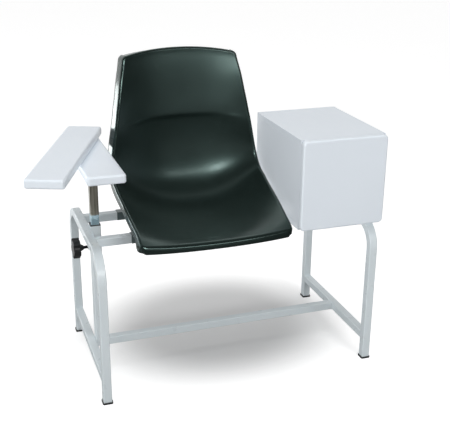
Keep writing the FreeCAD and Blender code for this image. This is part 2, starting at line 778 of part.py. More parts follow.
def section_frame(station):
    lean = math.radians(station[3])
    centre_y = value("seat_front - origin_y") + station[0] * value("seat_depth")
    centre_z = value("seat_bottom") + station[1] * value("seat_height")
    centre_x = value("seat_middle - origin_x")

    def point(pair):
        return FreeCAD.Vector(centre_x + pair[0], centre_y - pair[1] * math.sin(lean),
                              centre_z + pair[1] * math.cos(lean))
    return point


def mirrored(pairs):
    return [(0 - across, outward) for across, outward in reversed(pairs[1:])] + pairs


def curve(points):
    spline = Part.BSplineCurve()
    spline.interpolate(points)
    return spline.toShape()


def shell_section(station):
    point = section_frame(station)
    upper, under, tip, inner_tip = section_points(station)
    top_points = [point(pair) for pair in mirrored(upper)]
    low_points = [point(pair) for pair in mirrored(under)]
    right = [top_points[-1], point(tip), point(inner_tip), low_points[-1]]
    left = [low_points[0], point((0 - inner_tip[0], inner_tip[1])), point((0 - tip[0], tip[1])),
            top_points[0]]
    edges = [curve(top_points)]
    edges += [Part.makeLine(start, end) for start, end in zip(right, right[1:])]
    edges.append(curve(low_points[::-1]))
    edges += [Part.makeLine(start, end) for start, end in zip(left, left[1:])]
    return Part.Wire(edges)


def seat_shell():
    shell = Part.makeLoft([shell_section(station) for station in station_shares], True, False)
    item = doc.addObject("Part::Feature", "seat_shell")
    item.Shape = shell
    node(item, "seat_shell")
    return shell


def seat_standoffs(shell):
    # Round feet welded on under the shell: each one runs from a saddle up to the shell's underside
    saddle_top = value("saddle_top")
    bite = value("seat_screw_bite + screw_bite_gap")
    feet = []
    for y in rail_spots:
        for spot in seat_screw_spots(y, "saddle_top"):
            foot = FreeCAD.Vector(value(spot[0]) - value("origin_x"), value(spot[1]) - value("origin_y"),
                                  saddle_top)
            bar = Part.makeCylinder(value("standoff_radius"), value("seat_height") / 2, foot)
            below = min(bar.cut(shell).Solids, key=lambda solid: solid.BoundBox.ZMin)
            feet.append(below.cut(Part.makeCylinder(value("seat_screw_radius + screw_bite_gap"), bite, foot)))
    item = doc.addObject("Part::Feature", "seat_standoffs")
    item.Shape = Part.makeCompound(feet)
    node(item, "seat_standoffs")


def saddle(name, y):
    # A channel that wraps the top and both sides of a cross rail
    inner = "tube_size + 2 * saddle_gap"
    outer = inner + " + 2 * saddle_wall"
    height = "tube_size + saddle_wall"
    blank = board(name + "_blank", "x", (outer, height, "saddle_length"), "saddle_edge", None,
                  ("seat_middle", y, "saddle_top - (%s) / 2" % height))
    room = block(name + "_room", ("seat_middle - saddle_length / 2 - overrun", "(%s) - (%s) / 2" % (y, inner),
                                  "rail_bottom - overrun"),
                 ("saddle_length + 2 * overrun", inner, "tube_size + overrun"))
    tools = [room] + holes(name + "_hole", seat_screw_spots(y, "rail_top - overrun"), "+z",
                           "seat_screw_radius + screw_hole_gap", "saddle_wall + 2 * overrun")
    node(drill(name, blank, tools), name)


def seat_fixings():
    spots = []
    for y in rail_spots:
        spots += seat_screw_spots(y, "rail_bottom - seat_washer_thick")
    washers = []
    for number, spot in enumerate(spots, 1):
        disc = rod("seat_washer_disc_%d" % number, spot, "+z", "seat_washer_radius", "seat_washer_thick")
        bore = rod("seat_washer_bore_%d" % number, spot[:2] + (spot[2] + " - overrun",), "+z",
                   "seat_screw_radius + screw_hole_gap", "seat_washer_thick + 2 * overrun")
        washers.append(drill("seat_washer_%d" % number, disc, [bore]))
    node(group("seat_washers", washers), "seat_washers")
    screw_row("seat_screws", "seat_screw", spots, "+z",
              "seat_washer_thick + tube_size + saddle_wall + seat_screw_bite")


# Cabinet case
def cabinet_flat(name, height):
    return board(name, "z", ("cabinet_width", "case_depth", "panel_thick"), None, "panel_edge",
                 ("cabinet_middle", "case_middle", height))


def cabinet_top_and_bottom():
    node(cabinet_flat("cabinet_top", "cabinet_top_height - panel_thick / 2"), "cabinet_top")
    blank = cabinet_flat("cabinet_bottom_blank", "rail_top + panel_thick / 2")
    tools = []
    spots = []
    for y in rail_spots:
        tools += holes("cabinet_bottom_hole_" + y, cabinet_screw_spots(y, "rail_top - overrun"), "+z",
                       "cabinet_screw_radius + screw_bite_gap",
                       "overrun + cabinet_screw_bite + screw_bite_gap")
        spots += cabinet_screw_spots(y, "rail_bottom")
    node(drill("cabinet_bottom", blank, tools), "cabinet_bottom")
    screw_row("cabinet_fixing_screws", "cabinet_screw", spots, "+z", "tube_size + cabinet_screw_bite")


def inward(side, near, far):
    # The low x of something that lies between near and far from a side panel's inner face
    if side == "left":
        return "cabinet_left + panel_thick + (%s)" % near
    return "cabinet_right - panel_thick - (%s)" % far


def from_wall(side, distance):
    return inward(side, distance, distance)


def slide_screw_spots(side, distance):
    return [(from_wall(side, distance), y, "slide_centre")
            for y in ("slide_front + slide_screw_inset", "slide_front + slide_length - slide_screw_inset")]


def cabinet_side(side):
    name = "cabinet_%s_side" % side
    x = "(%s) + panel_thick / 2" % inward(side, "0 - panel_thick", "0")
    height = "cabinet_height - 2 * panel_thick"
    blank = board(name + "_blank", "x", ("case_depth", height, "panel_thick"), None, "panel_edge",
                  (x, "case_middle", "rail_top + cabinet_height / 2"))
    outward = "-x" if side == "left" else "+x"
    tools = holes(name + "_hole", slide_screw_spots(side, "overrun"), outward,
                  "slide_screw_radius + screw_bite_gap", "overrun + slide_screw_bite + screw_bite_gap")
    node(drill(name, blank, tools), name)


def cabinet_back():
    node(board("cabinet_back", "y", ("cabinet_width", "cabinet_height", "back_thick"), None, "panel_edge",
               ("cabinet_middle", "cabinet_rear - back_thick / 2", "rail_top + cabinet_height / 2")),
         "cabinet_back")


# Drawer slides: the cabinet's channel, the middle one and the drawer's, each inside the one before
def channel(name, side, web_at, opens_inward, step):
    height = "slide_height - 2 * %d * nest_step" % step
    depth = "slide_sheet + slide_flange"
    near = web_at if opens_inward else "%s - slide_flange" % web_at
    low_z = "slide_centre - (%s) / 2" % height
    bar = block(name + "_bar", (inward(side, near, "(%s) + %s" % (near, depth)), "slide_front", low_z),
                (depth, "slide_length", height))
    room_near = "(%s) + slide_sheet" % near if opens_inward else "(%s) - overrun" % near
    room = block(name + "_room", (inward(side, room_near, "(%s) + slide_flange + overrun" % room_near),
                                  "slide_front - overrun", "(%s) + slide_sheet" % low_z),
                 ("slide_flange + overrun", "slide_length + 2 * overrun", "(%s) - 2 * slide_sheet" % height))
    return bar, room


def flush_screws(name, spots, direction):
    # Countersunk heads that end level with the sheet they hold
    items = []
    for number, spot in enumerate(spots, 1):
        head = taper("%s_%d_head" % (name, number), spot, direction, "slide_screw_head_radius",
                     "slide_screw_radius", "slide_sheet")
        shank = rod("%s_%d_shank" % (name, number), spot, direction, "slide_screw_radius",
                    "slide_sheet + slide_screw_bite")
        items.append(join("%s_%d" % (name, number), [head, shank]))
    return items


def flush_holes(name, spots, direction):
    tools = []
    for number, spot in enumerate(spots, 1):
        tools.append(taper("%s_%d" % (name, number), spot, direction,
                           "slide_screw_head_radius + screw_bite_gap",
                           "slide_screw_radius + screw_bite_gap", "slide_sheet"))
    return tools


def slides(side):
    outward = "-x" if side == "left" else "+x"
    into_box = opposite[outward]
    bar, room = channel(side + "_cabinet_slide", side, "0", True, 0)
    spots = slide_screw_spots(side, "slide_sheet")
    tools = [room] + flush_holes(side + "_cabinet_slide_hole", spots, outward)
    node(drill(side + "_cabinet_slide", bar, tools), side + "_cabinet_slide")
    screws = flush_screws(side + "_cabinet_slide_screw", spots, outward)
    bar, room = channel(side + "_middle_slide", side, "nest_step", True, 1)
    node(drill(side + "_middle_slide", bar, [room]), side + "_middle_slide")
    bar, room = channel(side + "_drawer_slide", side, "slide_span - slide_sheet", False, 2)
    spots = slide_screw_spots(side, "slide_span - slide_sheet")
    tools = [room] + flush_holes(side + "_drawer_slide_hole", spots, into_box)
    node(drill(side + "_drawer_slide", bar, tools), side + "_drawer_slide")
    return screws, flush_screws(side + "_drawer_slide_screw", spots, into_box)


def both_slides():
    case_screws = []
    box_screws = []
    for side in ("left", "right"):
        in_case, in_box = slides(side)
        case_screws += in_case
        box_screws += in_box
    node(group("cabinet_slide_screws", case_screws), "cabinet_slide_screws")
    node(group("drawer_slide_screws", box_screws), "drawer_slide_screws")


# Drawer
def drawer_screw_spots(y):
    return [("cabinet_middle %s (box_inner_width / 2 - drawer_screw_inset)" % side, y, height)
            for side in "-+"
            for height in ("box_floor + drawer_screw_inset",
                           "box_floor + drawer_height - drawer_screw_inset")]


def drawer_front():
    body = doc.addObject("PartDesign::Body", "drawer_front_blank")
    outline = new_sketch(body, "XZ_Plane")
    rectangle(outline, "outline", "cabinet_width", "cabinet_height")
    panel = pad(body, outline, "front_thick")
    panel = round_off(body, panel, corner_edges(panel, "y"), "front_corner")
    panel = round_off(body, panel, rim_edges(panel, "y", ["low"]), "front_edge")
    round_off(body, panel, rim_edges(panel, "y", ["high"]), "panel_edge")
    place(body, ("cabinet_middle", "cabinet_front + front_thick / 2", "rail_top + cabinet_height / 2"))
    tools = holes("drawer_front_hole", drawer_screw_spots("front_rear + overrun"), "-y",
                  "drawer_screw_radius + screw_bite_gap", "overrun + drawer_screw_bite + screw_bite_gap")
    node(drill("drawer_front", body, tools), "drawer_front")


def drawer_box():
    box_front = block("drawer_box_front_blank", ("box_left + drawer_wall", "front_rear", "box_floor"),
                      ("box_inner_width", "drawer_wall", "drawer_height"))
    tools = holes("drawer_box_front_hole", drawer_screw_spots("front_rear + drawer_wall + overrun"), "-y",
                  "drawer_screw_radius + screw_hole_gap", "drawer_wall + 2 * overrun")
    node(drill("drawer_box_front", box_front, tools), "drawer_box_front")
    screw_row("drawer_front_screws", "drawer_screw", drawer_screw_spots("front_rear + drawer_wall"), "-y",
              "drawer_wall + drawer_screw_bite")
    node(block("drawer_box_back", ("box_left + drawer_wall", "box_rear - drawer_wall", "box_floor"),
               ("box_inner_width", "drawer_wall", "drawer_height")), "drawer_box_back")
    node(block("drawer_box_bottom", ("box_left", "front_rear", "box_bottom"),
               ("box_width", "box_depth", "drawer_base")), "drawer_box_bottom")
    for side in ("left", "right"):
        name = "drawer_box_" + side
        low = (inward(side, "slide_span", "slide_span + drawer_wall"), "front_rear", "box_floor")
        blank = block(name + "_blank", low, ("drawer_wall", "box_depth", "drawer_height"))
        into_box = "+x" if side == "left" else "-x"
        tools = holes(name + "_hole", slide_screw_spots(side, "slide_span - overrun"), into_box,
                      "slide_screw_radius + screw_bite_gap",
                      "overrun + slide_screw_bite + screw_bite_gap")
        node(drill(name, blank, tools), name)


def drawer_bumpers():
    bumpers = [rod("drawer_bumper_%d" % number,
                   ("cabinet_middle %s (cabinet_width / 2 - bumper_inset)" % side, "front_rear",
                    "cabinet_top_height - front_corner - bumper_inset"), "+y",
                   "bumper_radius", "bumper_thick")
               for number, side in enumerate("-+", 1)]
    node(group("drawer_bumpers", bumpers), "drawer_bumpers")


def check_document():
    doc.recompute()
    for item in doc.Objects:
        if "Invalid" in item.State or "Error" in item.State:
            raise ValueError("%s failed: %s" % (item.Name, item.State))
    for name, item in nodes.items():
        if item.Shape.isNull() or not item.Shape.isValid() or not item.Shape.Solids:
            raise ValueError("%s has no valid solid" % name)


fill_sheet()
side_frame("left_side_frame", "0 - ")
side_frame("right_side_frame", "")
lower_rail("left_lower_rail", "0 - ")
lower_rail("right_lower_rail", "")
stretcher()
cross_rail("front_cross_rail", "front_rail_y")
cross_rail("rear_cross_rail", "rear_rail_y")
glide("front_left_glide", "0 - ", "0 - ")
glide("front_right_glide", "", "0 - ")
glide("rear_left_glide", "0 - ", "")
glide("rear_right_glide", "", "")
socket()
socket_bush()
socket_nut()
clamp_knob()
clamp_stud()
arm_post()
arm_plate()
lower_board()
pivot()
upper_board()
saddle("front_seat_saddle", "front_rail_y")
saddle("rear_seat_saddle", "rear_rail_y")
seat_fixings()
seat_standoffs(seat_shell())
cabinet_top_and_bottom()
cabinet_side("left")
cabinet_side("right")
cabinet_back()
both_slides()
drawer_front()
drawer_box()
drawer_bumpers()
check_document()

os.makedirs("parts", exist_ok=True)
for name, item in nodes.items():
    item.Shape.exportStep("parts/%s.step" % name)
    box = item.Shape.BoundBox
    print("%-24s %2d solids  x %7.1f %7.1f  y %7.1f %7.1f  z %7.1f %7.1f" % (
        name, len(item.Shape.Solids), box.XMin, box.XMax, box.YMin, box.YMax, box.ZMin, box.ZMax))
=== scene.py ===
import json
import math

import bmesh
import bpy
import numpy as np
from mathutils import Matrix, Vector


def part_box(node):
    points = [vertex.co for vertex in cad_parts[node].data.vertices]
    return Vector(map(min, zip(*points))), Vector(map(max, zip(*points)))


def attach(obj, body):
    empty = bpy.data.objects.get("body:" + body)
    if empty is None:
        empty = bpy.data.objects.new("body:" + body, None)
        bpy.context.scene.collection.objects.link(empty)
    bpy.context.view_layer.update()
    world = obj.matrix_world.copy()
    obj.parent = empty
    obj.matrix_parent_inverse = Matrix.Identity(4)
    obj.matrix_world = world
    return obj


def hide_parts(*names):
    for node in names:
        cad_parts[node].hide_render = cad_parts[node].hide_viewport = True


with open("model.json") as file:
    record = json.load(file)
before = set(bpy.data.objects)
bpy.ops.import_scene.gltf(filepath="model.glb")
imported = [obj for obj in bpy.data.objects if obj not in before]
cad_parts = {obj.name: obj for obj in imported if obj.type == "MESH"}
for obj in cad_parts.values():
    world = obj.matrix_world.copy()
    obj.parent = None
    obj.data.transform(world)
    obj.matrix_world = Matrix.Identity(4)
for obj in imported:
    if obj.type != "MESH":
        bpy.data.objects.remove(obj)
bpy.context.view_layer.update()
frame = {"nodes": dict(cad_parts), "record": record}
nodes = frame["nodes"]
scene = bpy.context.scene
mm = 0.001
print("frame loaded:", len(nodes), "nodes")


# Small helpers for meshes, shader nodes and modifiers

def tint(red, green, blue):
    # A colour as it looks on a screen, 0 to 255, in the linear numbers that shaders take
    def linear(level):
        share = level / 255
        return share / 12.92 if share <= 0.04045 else ((share + 0.055) / 1.055) ** 2.4
    return (linear(red), linear(green), linear(blue), 1)


def pieceFrom(name, points, faces, material, smooth=True):
    mesh = bpy.data.meshes.new(name)
    mesh.from_pydata([tuple(point) for point in points], [], faces)
    mesh.materials.append(material)
    mesh.polygons.foreach_set("use_smooth", [smooth] * len(mesh.polygons))
    mesh.update()
    piece = bpy.data.objects.new(name, mesh)
    scene.collection.objects.link(piece)
    return piece


def finishPiece(piece, body, slotName, *replaced):
    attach(piece, body)
    if replaced:
        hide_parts(*replaced)
    return piece


def circle(radius, z, segments):
    turns = [2 * math.pi * spot / segments for spot in range(segments)]
    return [(radius * math.cos(turn), radius * math.sin(turn), z) for turn in turns]


def hardEdges(piece, degrees=38):
    # Keeps real corners crisp while the rest shades smoothly
    mesh = piece.data
    shape = bmesh.new()
    shape.from_mesh(mesh)
    bmesh.ops.recalc_face_normals(shape, faces=shape.faces)
    for edge in shape.edges:
        edge.smooth = len(edge.link_faces) == 2 and edge.calc_face_angle(0) < math.radians(degrees)
    shape.to_mesh(mesh)
    shape.free()


def addNode(tree, kind, inputs=None, **settings):
    made = tree.nodes.new(kind)
    for key, setting in settings.items():
        setattr(made, key, setting)
    for key, given in (inputs or {}).items():
        if isinstance(given, bpy.types.NodeSocket):
            tree.links.new(given, made.inputs[key])
        else:
            made.inputs[key].default_value = given
    return made


def mathNode(tree, operation, first, second=0.0, clamp=False):
    made = addNode(tree, "ShaderNodeMath", {0: first, 1: second}, operation=operation, use_clamp=clamp)
    return made.outputs[0]


def layered(tree, broad, fine, share):
    # One value with a share of another on top
    return mathNode(tree, "ADD", broad, mathNode(tree, "MULTIPLY", fine, share))


def noiseNode(tree, coords, scale, detail=3.0, rough=0.5, stretch=None):
    if stretch:
        coords = addNode(tree, "ShaderNodeMapping", {"Vector": coords, "Scale": stretch}).outputs[0]
    inputs = {"Vector": coords, "Scale": scale, "Detail": detail, "Roughness": rough}
    return addNode(tree, "ShaderNodeTexNoise", inputs).outputs[0]


def spanNode(tree, factor, fromLow, fromHigh, toLow, toHigh, kind="LINEAR"):
    inputs = {0: factor, 1: fromLow, 2: fromHigh, 3: toLow, 4: toHigh}
    return addNode(tree, "ShaderNodeMapRange", inputs, interpolation_type=kind).outputs[0]


def smoothSpan(tree, factor, *span):
    return spanNode(tree, factor, *span, kind="SMOOTHSTEP")


def uneven(tree, noise, levels):
    # Noise lies mostly between 0.3 and 0.7, and is drawn out between the two levels
    return spanNode(tree, noise, 0.3, 0.7, *levels)


def mixNode(tree, factor, first, second):
    made = addNode(tree, "ShaderNodeMix", data_type="RGBA")
    for index, given in ((0, factor), (6, first), (7, second)):
        if isinstance(given, bpy.types.NodeSocket):
            tree.links.new(given, made.inputs[index])
        else:
            made.inputs[index].default_value = given
    return made.outputs[2]


def bumpNode(tree, height, bump, normal=None):
    strength, depth = bump
    inputs = {"Height": height, "Strength": strength, "Distance": depth}
    if normal:
        inputs["Normal"] = normal
    return addNode(tree, "ShaderNodeBump", inputs).outputs[0]


def roundedEdge(tree, radius, samples=4):
    return addNode(tree, "ShaderNodeBevel", {"Radius": radius}, samples=samples).outputs[0]


def edgeMask(tree, radius, low=0.02, high=0.25):
    # 1 on corners that a hand or a shoe would rub, 0 on flat faces
    pair = {0: roundedEdge(tree, radius), 1: addNode(tree, "ShaderNodeNewGeometry").outputs["Normal"]}
    along = addNode(tree, "ShaderNodeVectorMath", pair, operation="DOT_PRODUCT").outputs["Value"]
    return spanNode(tree, mathNode(tree, "SUBTRACT", 1.0, along), low, high, 0.0, 1.0)


def newMaterial(name, metallic=0.0):
    material = bpy.data.materials.new(name)
    material.use_nodes = True
    tree = material.node_tree
    shader = tree.nodes["Principled BSDF"]
    shader.inputs["Metallic"].default_value = metallic
    coords = addNode(tree, "ShaderNodeTexCoord").outputs["Object"]
    return material, tree, shader, coords


def wire(tree, shader, **links):
    for key, socket in links.items():
        tree.links.new(socket, shader.inputs[key.replace("_", " ")])


# Finishes. Colours are as seen on a screen, 0 to 255. A noise is its size per metre, its detail and,
# where they matter, its roughness and stretch. A span is from, to, low and high. A bump is its
# strength and its depth in metres.

def cloudyColour(tree, coords, look):
    return mixNode(tree, noiseNode(tree, coords, *look["clouds"]), tint(*look["shade"]), tint(*look["light"]))


def rubbedEdges(tree, coords, look, base):
    # Worn to another colour here and there along corners
    patches = spanNode(tree, noiseNode(tree, coords, *look["rubs"]), *look["rubSpan"])
    worn = mathNode(tree, "MULTIPLY", edgeMask(tree, look["rubEdge"]), patches, True)
    return mixNode(tree, worn, base, tint(*look["rub"]))


paintLook = {
    "light": (216, 224, 227), "shade": (207, 216, 220), "clouds": (9, 4),
    "rub": (120, 126, 130), "rubEdge": 1.2 * mm, "rubs": (60, 5), "rubSpan": (0.56, 0.66, 0.0, 0.55),
    "peel": (420, 2), "grain": (2600, 1), "grainShare": 0.25, "bump": (0.5, 0.00005),
    "edgeRound": 0.8 * mm, "wipe": (35, 4), "rough": (0.26, 0.38),
}


def powderCoat():
    look = paintLook
    material, tree, shader, coords = newMaterial("framePaint")
    colour = rubbedEdges(tree, coords, look, cloudyColour(tree, coords, look))
    height = layered(tree, noiseNode(tree, coords, *look["peel"]), noiseNode(tree, coords, *look["grain"]),
                     look["grainShare"])
    rough = uneven(tree, noiseNode(tree, coords, *look["wipe"]), look["rough"])
    wire(tree, shader, Base_Color=colour, Roughness=rough,
         Normal=bumpNode(tree, height, look["bump"], roundedEdge(tree, look["edgeRound"])))
    return material


seatLook = {
    "light": (19, 28, 26), "shade": (12, 19, 17), "clouds": (7, 4),
    "scuff": (44, 53, 50), "scuffs": (22, 6, 0.7, (1, 3.5, 1)), "scuffSpan": (0.62, 0.78, 0.0, 0.22),
    "pebbleSize": 1100, "pebbleSoft": 0.6, "grain": (240, 3), "grainShare": 9.0, "rimGrain": 0.3,
    "bump": (0.45, 0.00005), "wipe": (18, 5), "rough": (0.30, 0.37), "rimRough": 0.18,
    "gloss": {"Specular Tint": (0.66, 1.0, 0.93, 1), "Specular IOR Level": 0.5, "Coat Weight": 0.15,
              "Coat Roughness": 0.24, "Sheen Weight": 0.07, "Sheen Roughness": 0.42,
              "Sheen Tint": (0.72, 1.0, 0.93, 1)},
}


def seatPlastic():
    look = seatLook
    material, tree, shader, coords = newMaterial("seatPlastic")
    for key, level in look["gloss"].items():
        shader.inputs[key].default_value = level
    scuffs = spanNode(tree, noiseNode(tree, coords, *look["scuffs"]), *look["scuffSpan"])
    colour = mixNode(tree, scuffs, cloudyColour(tree, coords, look), tint(*look["scuff"]))
    cells = {"Vector": coords, "Scale": look["pebbleSize"], "Smoothness": look["pebbleSoft"]}
    pebble = addNode(tree, "ShaderNodeTexVoronoi", cells, feature="SMOOTH_F1").outputs["Distance"]
    height = layered(tree, pebble, noiseNode(tree, coords, *look["grain"]), look["grainShare"])
    # The rolled rim came out of the mould smooth, the sitting face grained
    rim = addNode(tree, "ShaderNodeAttribute", attribute_name="smoothRim").outputs["Fac"]
    face = uneven(tree, noiseNode(tree, coords, *look["wipe"]), look["rough"])
    rough = spanNode(tree, rim, 0.0, 1.0, face, look["rimRough"])
    grain = mathNode(tree, "MULTIPLY", height, spanNode(tree, rim, 0.0, 1.0, 1.0, look["rimGrain"]))
    wire(tree, shader, Base_Color=colour, Roughness=rough, Normal=bumpNode(tree, grain, look["bump"]))
    return material


laminateLook = {
    "light": (226, 233, 240), "shade": (221, 228, 235), "clouds": (5, 3),
    "specks": (1900, 1), "speckSpan": (0.62, 0.74, 0.0, 0.10),
    "rub": (198, 204, 210), "rubEdge": 1.0 * mm, "rubs": (45, 5), "rubSpan": (0.5, 0.65, 0.0, 0.5),
    "weave": (900, 2), "ripple": (90, 2), "rippleShare": 0.4, "bump": (0.4, 0.00003),
    "edgeRound": 0.8 * mm, "wipe": (14, 5, 0.65, (4, 1, 1)), "rough": (0.32, 0.46),
}


def laminate():
    look = laminateLook
    material, tree, shader, coords = newMaterial("whiteLaminate")
    specks = spanNode(tree, noiseNode(tree, coords, *look["specks"]), *look["speckSpan"])
    speckled = mixNode(tree, specks, cloudyColour(tree, coords, look), tint(*look["rub"]))
    colour = rubbedEdges(tree, coords, look, speckled)
    height = layered(tree, noiseNode(tree, coords, *look["weave"]), noiseNode(tree, coords, *look["ripple"]),
                     look["rippleShare"])
    rough = uneven(tree, noiseNode(tree, coords, *look["wipe"]), look["rough"])
    wire(tree, shader, Base_Color=colour, Roughness=rough,
         Normal=bumpNode(tree, height, look["bump"], roundedEdge(tree, look["edgeRound"])))
    return material


plasticLook = {
    "blackPlastic": {"light": (33, 34, 35), "shade": (20, 21, 22), "grain": (1500, 2), "rough": (0.38, 0.55)},
    "bumperRubber": {"light": (78, 79, 81), "shade": (60, 61, 63), "grain": (800, 2), "rough": (0.6, 0.8)},
    "bushNylon": {"light": (212, 212, 205), "shade": (196, 197, 190), "grain": (700, 2), "rough": (0.4, 0.55)},
    "saddlePlastic": {"light": (84, 98, 99), "shade": (70, 83, 84), "grain": (1500, 2), "rough": (0.25, 0.4)},
}
plasticShared = {"clouds": (40, 5), "rubEdge": 0.8 * mm, "rubShare": 0.35, "rubLift": 45, "wipe": (70, 4),
                 "coarse": (150, 3), "coarseShare": 0.6, "bump": (0.5, 0.00005)}


def smallPlastic(name):
    look = {**plasticShared, **plasticLook[name]}
    material, tree, shader, coords = newMaterial(name)
    rub = mathNode(tree, "MULTIPLY", edgeMask(tree, look["rubEdge"]), look["rubShare"])
    worn = [min(255, level + look["rubLift"]) for level in look["light"]]
    colour = mixNode(tree, rub, cloudyColour(tree, coords, look), tint(*worn))
    height = layered(tree, noiseNode(tree, coords, *look["grain"]), noiseNode(tree, coords, *look["coarse"]),
                     look["coarseShare"])
    rough = uneven(tree, noiseNode(tree, coords, *look["wipe"]), look["rough"])
    wire(tree, shader, Base_Color=colour, Roughness=rough, Normal=bumpNode(tree, height, look["bump"]))
    return material


postLook = {
    # lower is the pale blue of a painted reflection on the polished part
    "upper": (168, 164, 152), "upperShade": (124, 122, 112), "lower": (215, 243, 254),
    "polishAndReflectionTop": 0.513, "fade": 0.004, "waver": 0.006,
    "streaks": (130, 5, 0.6, (1, 1, 0.04)), "streakSpan": (0.4, 0.6, 0.0, 1.0),
    "roughSpan": (0.0, 1.0, 0.16, 0.27), "wipe": (60, 4), "wipeShare": 0.1,
    "scratches": (900, 2, 0.5, (1, 1, 0.03)), "bump": (0.25, 0.00003),
}


def postMetal():
    # The post is polished where it slides through its bush, and dull above that; the pale blue colour of the
    # polished part is a painted reflection
    look = postLook
    material, tree, shader, coords = newMaterial("armPostMetal", metallic=1.0)
    height = addNode(tree, "ShaderNodeSeparateXYZ", {"Vector": coords}).outputs["Z"]
    streaks = noiseNode(tree, coords, *look["streaks"])
    wavy = layered(tree, height, streaks, look["waver"])
    dullAboveReflection = spanNode(tree, wavy, look["polishAndReflectionTop"], look["polishAndReflectionTop"] + look["fade"], 0.0, 1.0)
    upper = mixNode(tree, spanNode(tree, streaks, *look["streakSpan"]), tint(*look["upperShade"]),
                    tint(*look["upper"]))
    # Below the line the colour is a pale blue painted reflection
    colour = mixNode(tree, dullAboveReflection, tint(*look["lower"]), upper)
    rough = layered(tree, spanNode(tree, dullAboveReflection, *look["roughSpan"]), noiseNode(tree, coords, *look["wipe"]),
                    look["wipeShare"])
    wire(tree, shader, Base_Color=colour, Roughness=rough,
         Normal=bumpNode(tree, noiseNode(tree, coords, *look["scratches"]), look["bump"]))
    return material


metalLook = {
    "zincPlate": {"light": (176, 178, 181), "shade": (150, 153, 157), "rough": (0.24, 0.4)},
    "slideSteel": {"light": (190, 193, 196), "shade": (166, 170, 174), "rough": (0.2, 0.34)},
    "brassInsert": {"light": (196, 164, 92), "shade": (164, 132, 66), "rough": (0.22, 0.36)},
    "blackSteel": {"light": (66, 67, 70), "shade": (44, 45, 48), "rough": (0.3, 0.45)},
}
metalShared = {"clouds": (120, 5, 0.6), "wipe": (260, 4), "grain": (1400, 2, 0.5, (1, 1, 0.2)),
               "bump": (0.3, 0.00003)}


def platedMetal(name):
    look = {**metalShared, **metalLook[name]}
    material, tree, shader, coords = newMaterial(name, metallic=1.0)
    rough = uneven(tree, noiseNode(tree, coords, *look["wipe"]), look["rough"])
    wire(tree, shader, Base_Color=cloudyColour(tree, coords, look), Roughness=rough,
         Normal=bumpNode(tree, noiseNode(tree, coords, *look["grain"]), look["bump"]))
    return material


boardLook = {
    "pale": (222, 203, 170), "ring": (196, 170, 130), "pore": (150, 122, 88),
    "rings": (55, 6, 0.6, (1, 0.07, 1)), "ringSpan": (0.35, 0.65, 0.0, 1.0),
    "pores": (900, 2, 0.5, (1, 0.03, 1)), "poreSpan": (0.6, 0.72, 0.0, 0.6),
    "rough": (0.48, 0.62), "bump": (0.35, 0.00008),
}


def drawerBoard():
    # Pale birch board, its grain along the drawer's depth
    look = boardLook
    material, tree, shader, coords = newMaterial("drawerBoard")
    rings = noiseNode(tree, coords, *look["rings"])
    base = mixNode(tree, spanNode(tree, rings, *look["ringSpan"]), tint(*look["pale"]), tint(*look["ring"]))
    pores = spanNode(tree, noiseNode(tree, coords, *look["pores"]), *look["poreSpan"])
    colour = mixNode(tree, pores, base, tint(*look["pore"]))
    height = mathNode(tree, "SUBTRACT", rings, pores)
    wire(tree, shader, Base_Color=colour, Roughness=uneven(tree, rings, look["rough"]),
         Normal=bumpNode(tree, height, look["bump"]))
    return material


plastics = {name: smallPlastic(name) for name in plasticLook}
metals = {name: platedMetal(name) for name in metalLook}
slotFinishes = {
    "frame_paint": powderCoat(), "seat_plastic": seatPlastic(), "white_laminate": laminate(),
    "drawer_board": drawerBoard(), "chrome": postMetal(), "black_plastic": plastics["blackPlastic"],
    "rubber": plastics["bumperRubber"], "nylon": plastics["bushNylon"], "zinc": metals["zincPlate"],
    "black_steel": metals["blackSteel"], "brass": metals["brassInsert"],
}

slotOf = {row["node"]: row["material_slot"] for row in frame["record"]["subparts"]}
for name, item in nodes.items():
    finish = slotFinishes[slotOf[name]]
    if "slide" in name and "screws" not in name:
        finish = metals["slideSteel"]
    if "saddle" in name:
        finish = plastics["saddlePlastic"]
    item.data.materials.clear()
    item.data.materials.append(finish)
print("finishes set on", len(nodes), "nodes")


# Seat shell: one moulded sheet, its rim rolled over and turned down all round

